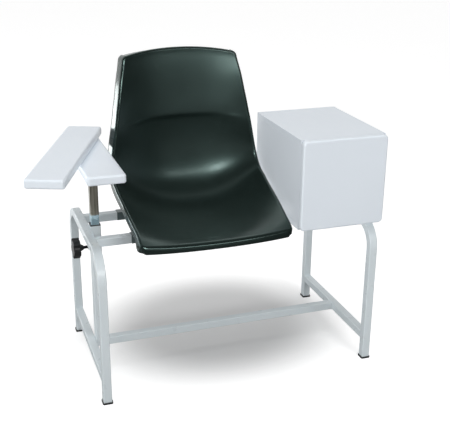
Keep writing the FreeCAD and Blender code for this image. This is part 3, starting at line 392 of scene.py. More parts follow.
seatShape = {
    # Lengths in millimetres
    "front": -221.256, "bottom": 467.0, "depth": 416.5, "height": 506.5, "halfWidth": 236.0, "middle": 2.8,
    "wall": 4.5, "flangeWall": 3.2, "thinning": 2.0, "cupPower": 2.4, "edgeInset": 2.6,
    # Shares along the seat from the front: depth, height, half width, lean in degrees, cup
    "stations": (
        (0.0234, 0.0395, 0.962, 12, 0.012), (0.070, 0.0425, 0.963, 8, 0.030), (0.142, 0.041, 0.964, 0, 0.055),
        (0.298, 0.034, 0.977, 0, 0.100), (0.466, 0.029, 0.986, 0, 0.143), (0.622, 0.031, 0.996, 8, 0.170),
        (0.754, 0.053, 1.000, 24, 0.182), (0.860, 0.107, 1.000, 39, 0.170), (0.927, 0.184, 0.996, 54, 0.150),
        (0.960, 0.276, 0.987, 71, 0.129), (0.973, 0.371, 0.970, 87, 0.118), (0.974, 0.460, 0.939, 89, 0.113),
        (0.967, 0.535, 0.911, 90, 0.106), (0.958, 0.572, 0.898, 90, 0.098), (0.950, 0.589, 0.890, 87, 0.081),
        (0.953, 0.638, 0.872, 85, 0.078), (0.963, 0.717, 0.843, 85, 0.073), (0.975, 0.815, 0.809, 85, 0.065),
        (0.989, 0.914, 0.773, 85, 0.056), (0.997, 0.962, 0.757, 90, 0.054), (0.9995, 0.987, 0.747, 95, 0.053)),
    # The crease of the lumbar part fades out towards the sides: depth and cup there, by station number
    "sideStations": {12: (0.9705, 0.1075), 13: (0.969, 0.1033), 14: (0.968, 0.0995), 15: (0.966, 0.089)},
    "fadeFrom": 0.72, "fadeTo": 0.98, "creaseDip": 7.5, "creaseHeight": 765.0, "creaseReach": 55.0,
    # Rounded corners, and how far the rim rolls out and drops at each side
    "frontCorner": 5.5, "topCorner": 8.0, "cornerReach": 55.0, "cornerRoll": 9.0,
    "frontRoll": 15.0, "sideRoll": 7.5, "topRoll": 7.5, "flare": 0.16,
    "frontWay": (0, 0.02, -1.0), "topWay": (0, 0.96, -0.28),
    "panDrop": 14.5, "backDrop": 34.0, "backFrom": 540, "backTo": 700, "topDrop": 6.0, "leastDrop": 3.0,
    "lipBottom": 464.8, "lipSmile": 3.0, "lipBow": 5.5, "bowReach": 90.0, "topArch": 14.0, "archReach": 100.0,
    # Steps down the flange, and round its edge: share of the wall along it and inwards
    "flangeSteps": (0.35, 0.7, 1.0), "edgeSteps": ((0.35, 0.15), (0.5, 0.5), (0.35, 0.85)),
    "rows": 176, "cornerRows": 8, "columns": 52, "columnEase": 1.35, "rollRings": 9, "fineSteps": 900,
    # The grain fades out over the first loops of the roll
    "fadeLoops": 2, "fadeShare": 0.5,
}


def naturalCurve(values):
    # A smooth curve through evenly numbered values, as a function of the number
    values = np.asarray(values, float)
    count = len(values)
    system = np.eye(count)
    right = np.zeros_like(values)
    for row in range(1, count - 1):
        system[row, row - 1:row + 2] = (1, 4, 1)
        right[row] = 6 * (values[row + 1] - 2 * values[row] + values[row - 1])
    bend = np.linalg.solve(system, right)

    def at(number):
        number = np.clip(np.asarray(number, float), 0, count - 1)
        left = np.minimum(number.astype(int), count - 2)
        share = (number - left)[..., None]
        first, second = values[left], values[left + 1]
        return (first * (1 - share) + second * share
                + ((1 - share) ** 3 - (1 - share)) * bend[left] / 6 + (share ** 3 - share) * bend[left + 1] / 6)
    return at


def smoothStep(value, low, high):
    share = np.clip((value - low) / (high - low), 0, 1)
    return share * share * (3 - 2 * share)


def seatGrid(shape):
    # The sitter's side of the shell, up to where its rim starts to roll, with rounded corners
    station = naturalCurve(shape["stations"])
    sideRows = [list(row) for row in shape["stations"]]
    for number, (depth, cup) in shape["sideStations"].items():
        sideRows[number][0], sideRows[number][4] = depth, cup
    sideStation = naturalCurve(sideRows)
    numbers = np.linspace(0, len(sideRows) - 1, shape["fineSteps"])
    rowsAt = station(numbers)
    steps = np.hypot(np.diff(rowsAt[:, 0]) * shape["depth"], np.diff(rowsAt[:, 1]) * shape["height"])
    along = np.concatenate([[0], np.cumsum(steps)])
    length = along[-1]
    turns = np.linspace(0, math.pi / 2, shape["cornerRows"] + 1)
    front = shape["frontCorner"] * (1 - np.cos(turns))
    back = length - shape["topCorner"] * (1 - np.cos(turns))[::-1]
    between = np.linspace(front[-1], back[0], shape["rows"])[1:-1]
    runs = np.concatenate([front, between, back])
    even = np.linspace(-1, 1, shape["columns"] + 1)
    across = np.sign(even) * (1 - (1 - np.abs(even)) ** shape["columnEase"])
    grid = np.zeros((len(runs), len(across), 3))
    for row, run in enumerate(runs):
        height, half, lean = station(np.interp(run, along, numbers))[1:4]
        lean = math.radians(lean)
        halfWidth = half * shape["halfWidth"] - shape["edgeInset"]
        inset = 0
        for gap, corner in ((run, shape["frontCorner"]), (length - run, shape["topCorner"])):
            if gap < corner:
                inset = corner - math.sqrt(max(0, corner ** 2 - (corner - gap) ** 2))
        places = across * (1 - inset / halfWidth)
        z = shape["bottom"] + height * shape["height"]
        near = smoothStep(shape["creaseReach"] - abs(z - shape["creaseHeight"]), 0, shape["creaseReach"])
        number = np.interp(run + shape["creaseDip"] * places ** 2 * near, along, numbers)
        fade = smoothStep(np.abs(places), shape["fadeFrom"], shape["fadeTo"])[:, None]
        mixed = station(number) * (1 - fade) + sideStation(number) * fade
        rise = mixed[:, 4] * shape["height"] * np.abs(places) ** shape["cupPower"]
        bow = shape["lipBow"] * (1 - places ** 2) * (1 - smoothStep(run, 0, shape["bowReach"]))
        arch = shape["topArch"] * places ** 2 * (1 - smoothStep(length - run, 0, shape["archReach"]))
        grid[row, :, 0] = shape["middle"] + places * halfWidth
        grid[row, :, 1] = shape["front"] + mixed[:, 0] * shape["depth"] - rise * math.sin(lean) - bow
        grid[row, :, 2] = z + rise * math.cos(lean) - arch
    return grid


def unit(vectors):
    return vectors / np.linalg.norm(vectors, axis=-1, keepdims=True)


def seatShell(shape):
    grid = seatGrid(shape)
    rows, columns = grid.shape[:2]
    lengthwise = unit(np.gradient(grid, axis=0))
    crosswise = unit(np.gradient(grid, axis=1))
    normal = unit(np.cross(crosswise, lengthwise))
    # Round the rim: front from left to right, up the right side, back along the top, down the left
    rim = ([(0, column) for column in range(columns)] + [(row, columns - 1) for row in range(1, rows)]
           + [(rows - 1, column) for column in range(columns - 2, -1, -1)]
           + [(row, 0) for row in range(rows - 2, 0, -1)])
    start = np.array([grid[spot] for spot in rim])
    up = np.array([normal[spot] for spot in rim])
    ahead = unit(np.roll(start, -1, 0) - np.roll(start, 1, 0))
    outward = unit(np.cross(ahead, up))
    lengthPart = (outward * np.array([lengthwise[spot] for spot in rim])).sum(1)
    crossPart = outward[:, 0]
    whole = lengthPart ** 2 + crossPart ** 2
    frontShare = (np.clip(-lengthPart, 0, 1) ** 2 / whole)[:, None]
    topShare = (np.clip(lengthPart, 0, 1) ** 2 / whole)[:, None]
    sideShare = 1 - frontShare - topShare
    # Near the front corners the sides take on the lip's fuller roll and its lower edge
    nearFront = 1 - smoothStep(start[:, 1:2] - start[:, 1].min(), 0, shape["cornerReach"])
    sideRoll = shape["sideRoll"] + (shape["cornerRoll"] - shape["sideRoll"]) * nearFront
    roll = frontShare * shape["frontRoll"] + topShare * shape["topRoll"] + sideShare * sideRoll
    outSign = (crossPart / np.sqrt(whole))[:, None]
    upright = unit(up * np.array((0, 1, 1)))
    sideWay = shape["flare"] * outSign * np.array((1, 0, 0)) - upright
    endWay = unit(frontShare * np.array(shape["frontWay"]) + topShare * np.array(shape["topWay"])
                  + sideShare * sideWay)
    cosine = np.clip((outward * endWay).sum(1), -1, 1)
    turn = np.arccos(cosine)[:, None]
    inner = unit(endWay - cosine[:, None] * outward)
    rings, ringNormals, walls = [], [], []
    for ring in range(1, shape["rollRings"] + 1):
        angle = turn * ring / shape["rollRings"]
        rings.append(start + roll * (np.sin(angle) * outward + (1 - np.cos(angle)) * inner))
        ringNormals.append(np.sin(angle) * outward - np.cos(angle) * inner)
        thin = min(1, shape["thinning"] * ring / shape["rollRings"])
        walls.append(shape["wall"] + (shape["flangeWall"] - shape["wall"]) * thin)
    rollEnd, endNormal = rings[-1], ringNormals[-1]
    lipShare = ((rollEnd[:, :1] - shape["middle"]) / shape["halfWidth"]) ** 2
    lipDrop = np.maximum(shape["leastDrop"], rollEnd[:, 2:] - shape["lipBottom"] - shape["lipSmile"] * lipShare)
    onBack = smoothStep(rollEnd[:, 2:], shape["backFrom"], shape["backTo"])
    sideDrop = shape["panDrop"] * (1 - onBack) + shape["backDrop"] * onBack
    sideDrop = sideDrop * (1 - nearFront) + lipDrop * nearFront
    drop = frontShare * lipDrop + topShare * shape["topDrop"] + sideShare * sideDrop
    for step in shape["flangeSteps"]:
        rings.append(rollEnd + drop * step * endWay)
        ringNormals.append(endNormal)
        walls.append(shape["flangeWall"])
    # Upper skin, then the rounded edge, then the lower skin in the reverse order
    edge = [rings[-1] + shape["flangeWall"] * (along * endWay - inwards * endNormal)
            for along, inwards in shape["edgeSteps"]]
    under = [ring - wall * facing for ring, wall, facing in zip(rings, walls, ringNormals)]
    below = (grid - shape["wall"] * normal).reshape(-1, 3)
    loops = rings + edge + under[::-1]
    points = np.concatenate([grid.reshape(-1, 3)] + loops + [below])
    count = len(rim)
    base = rows * columns
    faces = [(row * columns + column, row * columns + column + 1, (row + 1) * columns + column + 1,
              (row + 1) * columns + column) for row in range(rows - 1) for column in range(columns - 1)]
    rimOnTop = [row * columns + column for row, column in rim]
    belowStart = base + count * len(loops)
    rimBelow = [belowStart + number for number in rimOnTop]
    chain = [[base + count * loop + spot for spot in range(count)] for loop in range(len(loops))]
    chain = [rimOnTop] + chain + [rimBelow]
    for first, second in zip(chain, chain[1:]):
        faces += [(first[(spot + 1) % count], first[spot], second[spot], second[(spot + 1) % count])
                  for spot in range(count)]
    faces += [tuple(belowStart + number for number in face[::-1]) for face in faces[:(rows - 1) * (columns - 1)]]
    shell = pieceFrom("seatShell", points * mm, faces, slotFinishes["seat_plastic"])
    grainEnd = base + shape["fadeLoops"] * count
    smoothRim = np.zeros(len(points), dtype=np.float32)
    smoothRim[base:grainEnd] = shape["fadeShare"]
    smoothRim[grainEnd:belowStart] = 1
    shell.data.attributes.new("smoothRim", "FLOAT", "POINT").data.foreach_set("value", smoothRim)
    return shell


seat = seatShell(seatShape)
finishPiece(seat, "frame", "seat_plastic", "seat_shell")
print("seat shell:", len(seat.data.polygons), "faces")


# Weld beads, screws and the clamp's threaded stud

def bakeNodes(holder, tree, settings, name):
    # Runs a node tree on a holder and keeps its result as a plain mesh of its own
    modifier = holder.modifiers.new(tree.name, "NODES")
    modifier.node_group = tree
    for item in tree.interface.items_tree:
        if item.item_type == "SOCKET" and item.in_out == "INPUT" and item.name in settings:
            modifier[item.identifier] = settings[item.name]
    bpy.context.view_layer.update()
    seen = holder.evaluated_get(bpy.context.evaluated_depsgraph_get())
    mesh = bpy.data.meshes.new_from_object(seen)
    bpy.data.objects.remove(holder)
    mesh.name = name
    piece = bpy.data.objects.new(name, mesh)
    scene.collection.objects.link(piece)
    return piece


def newTree(name, inputs):
    tree = bpy.data.node_groups.new(name, "GeometryNodeTree")
    tree.interface.new_socket("Geometry", in_out="INPUT", socket_type="NodeSocketGeometry")
    for title, kind, start in inputs:
        socket = tree.interface.new_socket(title, in_out="INPUT", socket_type=kind)
        if start is not None:
            socket.default_value = start
    tree.interface.new_socket("Geometry", in_out="OUTPUT", socket_type="NodeSocketGeometry")
    return tree, tree.nodes.new("NodeGroupInput").outputs


def endTree(tree, geometry, finish):
    real = addNode(tree, "GeometryNodeRealizeInstances", {"Geometry": geometry})
    coated = addNode(tree, "GeometryNodeSetMaterial", {"Geometry": real.outputs[0], "Material": finish})
    tree.links.new(coated.outputs[0], tree.nodes.new("NodeGroupOutput").inputs[0])
    return tree


weldLook = {
    # Lengths in metres
    "beadRadius": 0.0017, "ripplePitch": 0.0021, "rippleDepth": 0.15, "cornerRadius": 0.003, "cornerPoints": 5,
    "step": 0.0005, "driftSize": 170, "driftTurns": 5.0, "driftSwell": 0.5, "leastSwell": 0.75,
    "profilePoints": 10, "flushGap": 0.002, "offset": 0.0004, "nutRing": 0.0102, "ringPoints": 32,
}


def weldTree(look):
    tree, given = newTree("weldBead", (("Bead Radius", "NodeSocketFloat", look["beadRadius"]),
                                       ("Ripple Pitch", "NodeSocketFloat", look["ripplePitch"]),
                                       ("Ripple Depth", "NodeSocketFloat", look["rippleDepth"]),
                                       ("Corner Radius", "NodeSocketFloat", look["cornerRadius"]),
                                       ("Finish", "NodeSocketMaterial", None)))
    corners = {"Curve": given["Geometry"], "Radius": given["Corner Radius"], "Limit Radius": True,
               "Count": look["cornerPoints"]}
    rounded = addNode(tree, "GeometryNodeFilletCurve", corners, mode="POLY").outputs[0]
    steps = {"Curve": rounded, "Length": look["step"]}
    even = addNode(tree, "GeometryNodeResampleCurve", steps, mode="LENGTH").outputs[0]
    along = addNode(tree, "GeometryNodeSplineParameter").outputs["Length"]
    turns = mathNode(tree, "DIVIDE", mathNode(tree, "MULTIPLY", along, 2 * math.pi), given["Ripple Pitch"])
    drift = noiseNode(tree, addNode(tree, "GeometryNodeInputPosition").outputs[0], look["driftSize"], 2)
    wave = mathNode(tree, "SINE", layered(tree, turns, drift, look["driftTurns"]))
    swell = layered(tree, mathNode(tree, "MULTIPLY", wave, given["Ripple Depth"]), drift, look["driftSwell"])
    circled = {"Resolution": look["profilePoints"], "Radius": given["Bead Radius"]}
    profile = addNode(tree, "GeometryNodeCurvePrimitiveCircle", circled).outputs[0]
    swept = addNode(tree, "GeometryNodeCurveToMesh",
                    {"Curve": even, "Profile Curve": profile, "Fill Caps": True,
                     "Scale": mathNode(tree, "ADD", look["leastSwell"], swell)})
    return endTree(tree, swept.outputs[0], given["Finish"])


def weldRoutes(look):
    routes, off, gap = [], look["offset"], look["flushGap"]
    for name in ("front_cross_rail", "rear_cross_rail", "stretcher"):
        low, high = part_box(name)
        for x in (low[0] + off, high[0] - off):
            # Open at the top, where the weld is ground flush or the socket tube stands
            top = high[2] - gap
            routes.append([(x, low[1] - off, top), (x, low[1] - off, low[2] - off), (x, high[1] + off, low[2] - off),
                           (x, high[1] + off, top)])
    low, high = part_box("stretcher")
    routes.append([(high[0] - off, low[1], high[2] + off), (high[0] - off, high[1], high[2] + off)])
    for name in ("left_lower_rail", "right_lower_rail"):
        low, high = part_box(name)
        for y in (low[1] + off, high[1] - off):
            for z in (low[2] - off, high[2] + off):
                routes.append([(low[0] + gap, y, z), (high[0] - gap, y, z)])
    low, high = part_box("arm_socket_tube")
    railLow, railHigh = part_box("front_cross_rail")
    stretchLow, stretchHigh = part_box("stretcher")
    for y, side in ((low[1] - off, stretchLow[1] - off), (high[1] + off, stretchHigh[1] + off)):
        routes.append([(low[0] + off, y, railLow[2] + gap), (low[0] + off, y, railHigh[2] - gap)])
        routes.append([(low[0] + gap, side, low[2] - off), (high[0] - gap, side, low[2] - off)])
    x, z = high[0] + off, low[2] + off
    routes.append([(x, stretchLow[1] + gap, z), (x, stretchHigh[1] - gap, z)])
    low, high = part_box("socket_weld_nut")
    x, y, z = high[0] - off, (low[1] + high[1]) / 2, (low[2] + high[2]) / 2
    ring = circle(look["nutRing"], 0, look["ringPoints"])
    routes.append([(x, y + point[0], z + point[1]) for point in ring + ring[:1]])
    return routes


def weldBeads(look):
    lines = bpy.data.curves.new("weldLines", "CURVE")
    lines.dimensions = "3D"
    for route in weldRoutes(look):
        spline = lines.splines.new("POLY")
        spline.points.add(len(route) - 1)
        for point, spot in zip(spline.points, route):
            point.co = (*spot, 1)
    holder = bpy.data.objects.new("weldLines", lines)
    scene.collection.objects.link(holder)
    beads = bakeNodes(holder, weldTree(look), {"Finish": slotFinishes["frame_paint"]}, "weldBeads")
    beads.data.polygons.foreach_set("use_smooth", [True] * len(beads.data.polygons))
    return finishPiece(beads, "frame", "frame_paint")


beads = weldBeads(weldLook)
print("weld beads:", len(beads.data.polygons), "faces")


def turnedPiece(name, rings, firstPole, lastPole, material):
    # A closed shape from rings of points, with a point at each end
    count = len(rings[0])
    points = [firstPole] + [point for ring in rings for point in ring] + [lastPole]
    last = len(points) - 1
    faces = []
    for spot in range(count):
        after = (spot + 1) % count
        faces.append((0, 1 + after, 1 + spot))
        faces.append((last, last - count + spot, last - count + after))
        for ring in range(len(rings) - 1):
            start = 1 + ring * count
            faces.append((start + spot, start + after, start + count + after, start + count + spot))
    piece = pieceFrom(name, points, faces, material)
    hardEdges(piece)
    return piece


def threadRows(start, end, radius, depth, pitch, stepsPerTurn, segments):
    # Rings of a screw thread that runs out at both ends
    rings = []
    count = max(2, round((end - start) / pitch * stepsPerTurn))
    for row in range(count + 1):
        z = start + (end - start) * row / count
        fade = min(1.0, (z - start) / pitch, (end - z) / pitch)
        ring = []
        for spot in range(segments):
            share = (z / pitch - spot / segments) % 1
            sink = depth * abs(2 * share - 1) * max(0.0, fade)
            turn = 2 * math.pi * spot / segments
            ring.append(((radius - sink) * math.cos(turn), (radius - sink) * math.sin(turn), z))
        rings.append(ring)
    return rings


screwRows = {
    # Lengths in millimetres
    "seat_screws": {"head": 5.2, "headHeight": 4.0, "shank": 3.0, "pitch": 1.6, "body": "frame"},
    "cabinet_fixing_screws": {"head": 5.2, "headHeight": 4.0, "shank": 3.0, "pitch": 1.6, "body": "frame"},
    "arm_plate_screws": {"head": 4.6, "headHeight": 3.0, "shank": 2.4, "pitch": 1.6, "body": "arm"},
    "cabinet_slide_screws": {"head": 3.6, "headHeight": 1.6, "shank": 1.9, "pitch": 1.4, "body": "frame"},
    "drawer_slide_screws": {"head": 3.6, "headHeight": 1.6, "shank": 1.9, "pitch": 1.4, "body": "drawer"},
    "drawer_front_screws": {"head": 4.0, "headHeight": 2.4, "shank": 2.0, "pitch": 1.4, "body": "drawer"},
}
screwShape = {
    # Shares of the head's radius and height
    "faceRings": (0.10, 0.20, 0.32, 0.44, 0.55, 0.60, 0.74, 0.88), "dome": 0.3,
    "recessWidth": 0.15, "recessLength": 0.56, "recessDepth": 0.55,
    "headRings": ((0.97, 0.42), (1.0, 0.6), (1.0, 0.98)),
    # Shares of the shank's radius, and lengths in millimetres of its plain part and its tip
    "neck": 1.02, "threadDepth": 0.2, "tipRadius": 0.4, "plain": 1.0, "tip": 2.0, "tipBack": 0.3,
    "segments": 32, "stepsPerTurn": 4,
    # How a head is found in the plain screw: points merged within a gap in metres, and the widest ones
    "mergeGap": 1e-6, "headShare": 0.9,
}


def screwPattern(row, length, shape, material):
    # Head at the origin, tip along +Z, a cross recess in the head
    head, tall, shank, segments = row["head"], row["headHeight"], row["shank"], shape["segments"]
    rings = []
    for share in shape["faceRings"]:
        ring = []
        for x, y, _ in circle(share, 0, segments):
            inCross = min(abs(x), abs(y)) < shape["recessWidth"] and share < shape["recessLength"]
            z = tall * (shape["recessDepth"] if inCross else shape["dome"] * share ** 2)
            ring.append((x * head, y * head, z))
        rings.append(ring)
    rings += [circle(radius * head, z * tall, segments) for radius, z in shape["headRings"]]
    rings.append(circle(shank * shape["neck"], tall, segments))
    rings += threadRows(tall + shape["plain"], length - shape["tip"], shank, shank * shape["threadDepth"],
                        row["pitch"], shape["stepsPerTurn"], segments)
    rings.append(circle(shape["tipRadius"] * shank, length - shape["tipBack"], segments))
    scaled = [[tuple(part * mm for part in point) for point in ring] for ring in rings]
    poles = (0, 0, tall * shape["recessDepth"] * mm), (0, 0, length * mm)
    return turnedPiece("screwPattern", scaled, *poles, material)


def screwSpots(name, look):
    # Each screw of a node: the top of its head, the way to its tip, and its length
    shape = bmesh.new()
    shape.from_mesh(nodes[name].data)
    bmesh.ops.remove_doubles(shape, verts=shape.verts, dist=look["mergeGap"])
    reached, spots = set(), []
    for first in shape.verts:
        if first in reached:
            continue
        reached.add(first)
        stack, island = [first], []
        while stack:
            vert = stack.pop()
            island.append(np.array(vert.co))
            for edge in vert.link_edges:
                other = edge.other_vert(vert)
                if other not in reached:
                    reached.add(other)
                    stack.append(other)
        island = np.array(island)
        low, high = island.min(0), island.max(0)
        axis = int(np.argmax(high - low))
        middle = (low + high) / 2
        reach = np.linalg.norm(np.delete(island - middle, axis, 1), axis=1)
        wideAt = island[reach > reach.max() * look["headShare"]][:, axis].mean()
        way = np.zeros(3)
        way[axis] = 1 if wideAt < middle[axis] else -1
        headAt = middle.copy()
        headAt[axis] = low[axis] if way[axis] > 0 else high[axis]
        spots.append((headAt, way, (high - low)[axis]))
    shape.free()
    return spots


def screwTree():
    tree, given = newTree("screwRow", (("Pattern", "NodeSocketObject", None), ("Size", "NodeSocketFloat", 1.0),
                                       ("Finish", "NodeSocketMaterial", None)))
    pattern = addNode(tree, "GeometryNodeObjectInfo", {"Object": given["Pattern"]}, transform_space="ORIGINAL")
    aim = addNode(tree, "GeometryNodeInputNamedAttribute", {"Name": "aim"}, data_type="FLOAT_VECTOR")
    turned = addNode(tree, "FunctionNodeAlignRotationToVector", {"Vector": aim.outputs[0]}, axis="Z")
    placed = addNode(tree, "GeometryNodeInstanceOnPoints",
                     {"Points": given["Geometry"], "Instance": pattern.outputs["Geometry"],
                      "Rotation": turned.outputs[0], "Scale": given["Size"]})
    return endTree(tree, placed.outputs[0], given["Finish"])


def screws(name, row, tree):
    spots = screwSpots(name, screwShape)
    finish = slotFinishes[slotOf[name]]
    pattern = screwPattern(row, spots[0][2] / mm, screwShape, finish)
    points = bpy.data.meshes.new("screwPoints")
    points.from_pydata([tuple(spot[0]) for spot in spots], [], [])
    aims = points.attributes.new("aim", "FLOAT_VECTOR", "POINT")
    aims.data.foreach_set("vector", np.array([spot[1] for spot in spots], dtype=np.float32).ravel())
    holder = bpy.data.objects.new("screwPoints", points)
    scene.collection.objects.link(holder)
    made = bakeNodes(holder, tree, {"Pattern": pattern, "Finish": finish}, name.replace("_", "") + "Turned")
    bpy.data.objects.remove(pattern)
    return finishPiece(made, row["body"], slotOf[name], name)


rowTree = screwTree()
screwFaces = [len(screws(name, row, rowTree).data.polygons) for name, row in screwRows.items()]
print("screws:", sum(screwFaces), "faces")

studShape = {
    # Lengths in millimetres
    "pitch": 1.5, "depth": 0.75, "segments": 24, "stepsPerTurn": 6, "plain": 20.0, "point": 1.2, "pointRadius": 3.6,
}


def clampStud(shape):
    low, high = (np.array(corner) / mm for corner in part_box("clamp_stud"))
    length, radius = high[0] - low[0], (high[1] - low[1]) / 2
    y, z = (low[1] + high[1]) / 2, (low[2] + high[2]) / 2
    rings = [circle(radius, 0, shape["segments"])]
    rings += threadRows(shape["plain"], length - shape["point"], radius, shape["depth"], shape["pitch"],
                        shape["stepsPerTurn"], shape["segments"])
    rings.append(circle(shape["pointRadius"], length, shape["segments"]))
    placed = [[((low[0] + point[2]) * mm, (y + point[0]) * mm, (z + point[1]) * mm) for point in ring]
              for ring in rings]
    poles = (low[0] * mm, y * mm, z * mm), (high[0] * mm, y * mm, z * mm)
    stud = turnedPiece("threadedStud", placed, *poles, slotFinishes["black_steel"])
    return finishPiece(stud, "knob", "black_steel", "clamp_stud")


clampStud(studShape)
print("clamp stud turned")


# Camera at the photograph's viewing angle

cameraPlace = {"spot": (-0.71873, -2.334376, 1.41818), "yaw": -0.3359, "pitch": -0.3605, "roll": 0.0094,
               "lens": 67.02, "sensor": 36, "shiftX": -0.0013, "shiftY": -0.0011}


def makeCamera(place):
    yaw, pitch, roll = place["yaw"], place["pitch"], place["roll"]
    forward = Vector((-math.sin(yaw) * math.cos(pitch), math.cos(yaw) * math.cos(pitch), math.sin(pitch)))
    level = Vector((math.cos(yaw), math.sin(yaw), 0))
    upright = level.cross(forward)
    right = level * math.cos(roll) + upright * math.sin(roll)
    up = upright * math.cos(roll) - level * math.sin(roll)
    lens = bpy.data.cameras.new("photoCamera")
    lens.lens, lens.sensor_width = place["lens"], place["sensor"]
    lens.shift_x, lens.shift_y = place["shiftX"], place["shiftY"]
    camera = bpy.data.objects.new("photoCamera", lens)
    scene.collection.objects.link(camera)
    camera.matrix_world = Matrix((right, up, -forward)).transposed().to_4x4()
    camera.location = place["spot"]
    scene.camera = camera


makeCamera(cameraPlace)
print("camera placed")


# Floor, world and lamps. A span is from, to, low and high.

floorLook = {
    # The middle and reach of the ellipse under the object where the floor does not glow, a painted shadow
    "size": 40, "white": 0.74, "bounce": 0.5, "paintedShadowMiddle": (0.12, 0.17), "paintedShadowReach": (0.55, 0.48),
    "glowSpan": (0.42, 1.0, 0.0, 0.55), "frontShine": (-2.0, -3.2, 0.2, 0.7), "slant": 0.45,
    "rightShine": (-0.3, 1.0, 1.0, 0.06), "rearShine": (0.2, 1.0, 0.0, 1.0),
}
worldLook = {"soft": 0.22, "shineSpan": (-0.2, 0.2, 0.12, 1.0)}
lampLook = {
    "sun": {"strength": 1.1, "angle": 60, "spot": (0, 0, 3), "aim": (0.03, 0.06, -1.0)},
    "disks": {
        "high": {"spot": (-0.75, -0.35, 2.5), "aim": (0.0, 0.0, 0.3), "size": 1.9, "power": 4, "shadow": True},
        # The fill from the side throws no shadow across the floor
        "left": {"spot": (-5.5, -1.6, 2.6), "aim": (0.0, 0.0, 0.5), "size": 2.5, "power": 190, "shadow": False},
    },
    "panels": {
        "front": {"spot": (0.80, -2.70, 1.25), "aim": (0.05, 0.15, 0.60), "size": (1.3, 0.36), "power": 29,
                  "shows": "diffuse"},
        # Cards that only show in gloss: two for the small of the back, then the rims, the lip and the
        # side of the back
        "backCard": {"spot": (-0.72, -2.70, 1.72), "aim": (0.05, 0.15, 0.60), "size": (0.8, 0.30), "power": 36,
                     "shows": "gloss"},
        "wideCard": {"spot": (0.35, -2.75, 1.75), "aim": (0.05, 0.15, 0.60), "size": (2.0, 0.5), "power": 20,
                     "shows": "gloss"},
        "rimCard": {"spot": (-1.6, 2.2, 0.45), "aim": (-0.2, 0.0, 0.50), "size": (0.8, 0.5), "power": 9,
                    "shows": "gloss"},
        "lipCard": {"spot": (0.4, 0.9, 2.5), "aim": (0.0, -0.2, 0.48), "size": (1.6, 0.3), "power": 3.0,
                    "shows": "gloss"},
        "sideCard": {"spot": (-1.45, 1.0, 0.42), "aim": (-0.2, 0.2, 0.75), "size": (0.8, 0.6), "power": 3.6,
                     "shows": "gloss", "colour": (0.8, 0.9, 1)},
    },
}


def rayKinds(tree):
    # Seen by the eye, and seen in gloss or through glass
    path = addNode(tree, "ShaderNodeLightPath").outputs
    return path["Is Camera Ray"], mathNode(tree, "MAXIMUM", path["Is Glossy Ray"], path["Is Transmission Ray"])


def paleFloor(look):
    # White to the eye outside a painted shadow under the object, and in gloss a white sweep behind, with a dimmer
    # room in front
    material = bpy.data.materials.new("paleFloor")
    material.use_nodes = True
    tree = material.node_tree
    tree.nodes.remove(tree.nodes["Principled BSDF"])
    seen, mirrored = rayKinds(tree)
    coords = addNode(tree, "ShaderNodeTexCoord").outputs["Object"]
    parts = addNode(tree, "ShaderNodeSeparateXYZ", {"Vector": coords}).outputs
    white = spanNode(tree, seen, 0.0, 1.0, look["bounce"], look["white"])
    matt = addNode(tree, "ShaderNodeBsdfDiffuse", {"Color": white}).outputs[0]
    # The glow starts just outside an ellipse under the object, so the floor there keeps a painted shadow, deeper
    # than the lamps' own
    middle, reach = look["paintedShadowMiddle"], look["paintedShadowReach"]
    apart = [mathNode(tree, "DIVIDE", mathNode(tree, "SUBTRACT", parts[axis], middle[number]), reach[number])
             for number, axis in enumerate("XY")]
    squares = [mathNode(tree, "MULTIPLY", gap, gap) for gap in apart]
    away = mathNode(tree, "SQRT", mathNode(tree, "ADD", *squares))
    wash = smoothSpan(tree, away, *look["glowSpan"])
    glow = addNode(tree, "ShaderNodeEmission", {"Strength": mathNode(tree, "MULTIPLY", seen, wash)}).outputs[0]
    ahead = smoothSpan(tree, parts["Y"], *look["frontShine"])
    rightDim = smoothSpan(tree, layered(tree, parts["X"], parts["Y"], look["slant"]), *look["rightShine"])
    behind = smoothSpan(tree, parts["Y"], *look["rearShine"])
    shine = mathNode(tree, "MAXIMUM", mathNode(tree, "MULTIPLY", ahead, rightDim), behind)
    mirror = addNode(tree, "ShaderNodeEmission", {"Strength": shine}).outputs[0]
    both = addNode(tree, "ShaderNodeAddShader", {0: matt, 1: glow}).outputs[0]
    chosen = addNode(tree, "ShaderNodeMixShader", {0: mirrored, 1: both, 2: mirror}).outputs[0]
    tree.links.new(chosen, tree.nodes["Material Output"].inputs["Surface"])
    return material


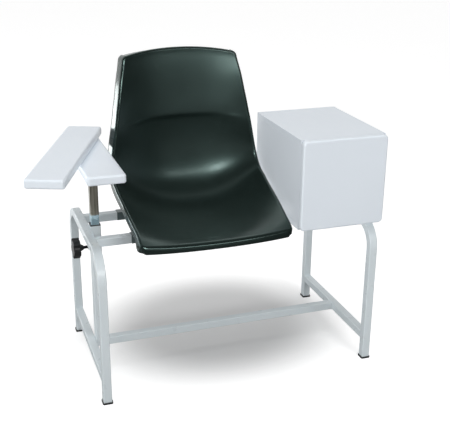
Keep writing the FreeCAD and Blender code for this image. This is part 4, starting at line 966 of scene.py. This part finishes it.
def makeWorld(look):
    world = bpy.data.worlds.new("studio")
    scene.world = world
    world.use_nodes = True
    tree = world.node_tree
    seen, mirrored = rayKinds(tree)
    way = addNode(tree, "ShaderNodeTexCoord").outputs["Generated"]
    parts = addNode(tree, "ShaderNodeSeparateXYZ", {"Vector": way}).outputs
    shine = smoothSpan(tree, parts["Y"], *look["shineSpan"])
    soft = addNode(tree, "ShaderNodeMix", {0: mirrored, 2: look["soft"], 3: shine}).outputs[0]
    level = addNode(tree, "ShaderNodeMix", {0: seen, 2: soft, 3: 1.0}).outputs[0]
    background = tree.nodes["Background"]
    background.inputs["Color"].default_value = (1, 1, 1, 1)
    tree.links.new(level, background.inputs["Strength"])


def hangLamp(lamp, spot, way):
    holder = bpy.data.objects.new(lamp.name, lamp)
    holder.location = spot
    holder.rotation_euler = Vector(way).to_track_quat("-Z", "Y").to_euler()
    holder.visible_camera = False
    scene.collection.objects.link(holder)
    return holder


def hangLamps(look):
    row = look["sun"]
    sun = bpy.data.lights.new("topLight", "SUN")
    sun.energy, sun.angle = row["strength"], math.radians(row["angle"])
    hangLamp(sun, row["spot"], row["aim"]).visible_glossy = False
    for name, row in look["disks"].items():
        lamp = bpy.data.lights.new(name + "Lamp", "AREA")
        lamp.shape, lamp.size, lamp.energy = "DISK", row["size"], row["power"]
        lamp.use_shadow = row["shadow"]
        hangLamp(lamp, row["spot"], Vector(row["aim"]) - Vector(row["spot"])).visible_glossy = False
    for name, row in look["panels"].items():
        lamp = bpy.data.lights.new(name + "Panel", "AREA")
        lamp.shape, lamp.energy, (lamp.size, lamp.size_y) = "RECTANGLE", row["power"], row["size"]
        lamp.color = row.get("colour", (1, 1, 1))
        holder = hangLamp(lamp, row["spot"], Vector(row["aim"]) - Vector(row["spot"]))
        holder.visible_diffuse, holder.visible_glossy = row["shows"] == "diffuse", row["shows"] == "gloss"


half = floorLook["size"] / 2
floorCorners = [(-half, -half, 0), (half, -half, 0), (half, half, 0), (-half, half, 0)]
pieceFrom("floor", floorCorners, [(0, 1, 2, 3)], paleFloor(floorLook), False)
makeWorld(worldLook)
hangLamps(lampLook)
scene.view_settings.view_transform = "Standard"
print("stage and lamps ready")
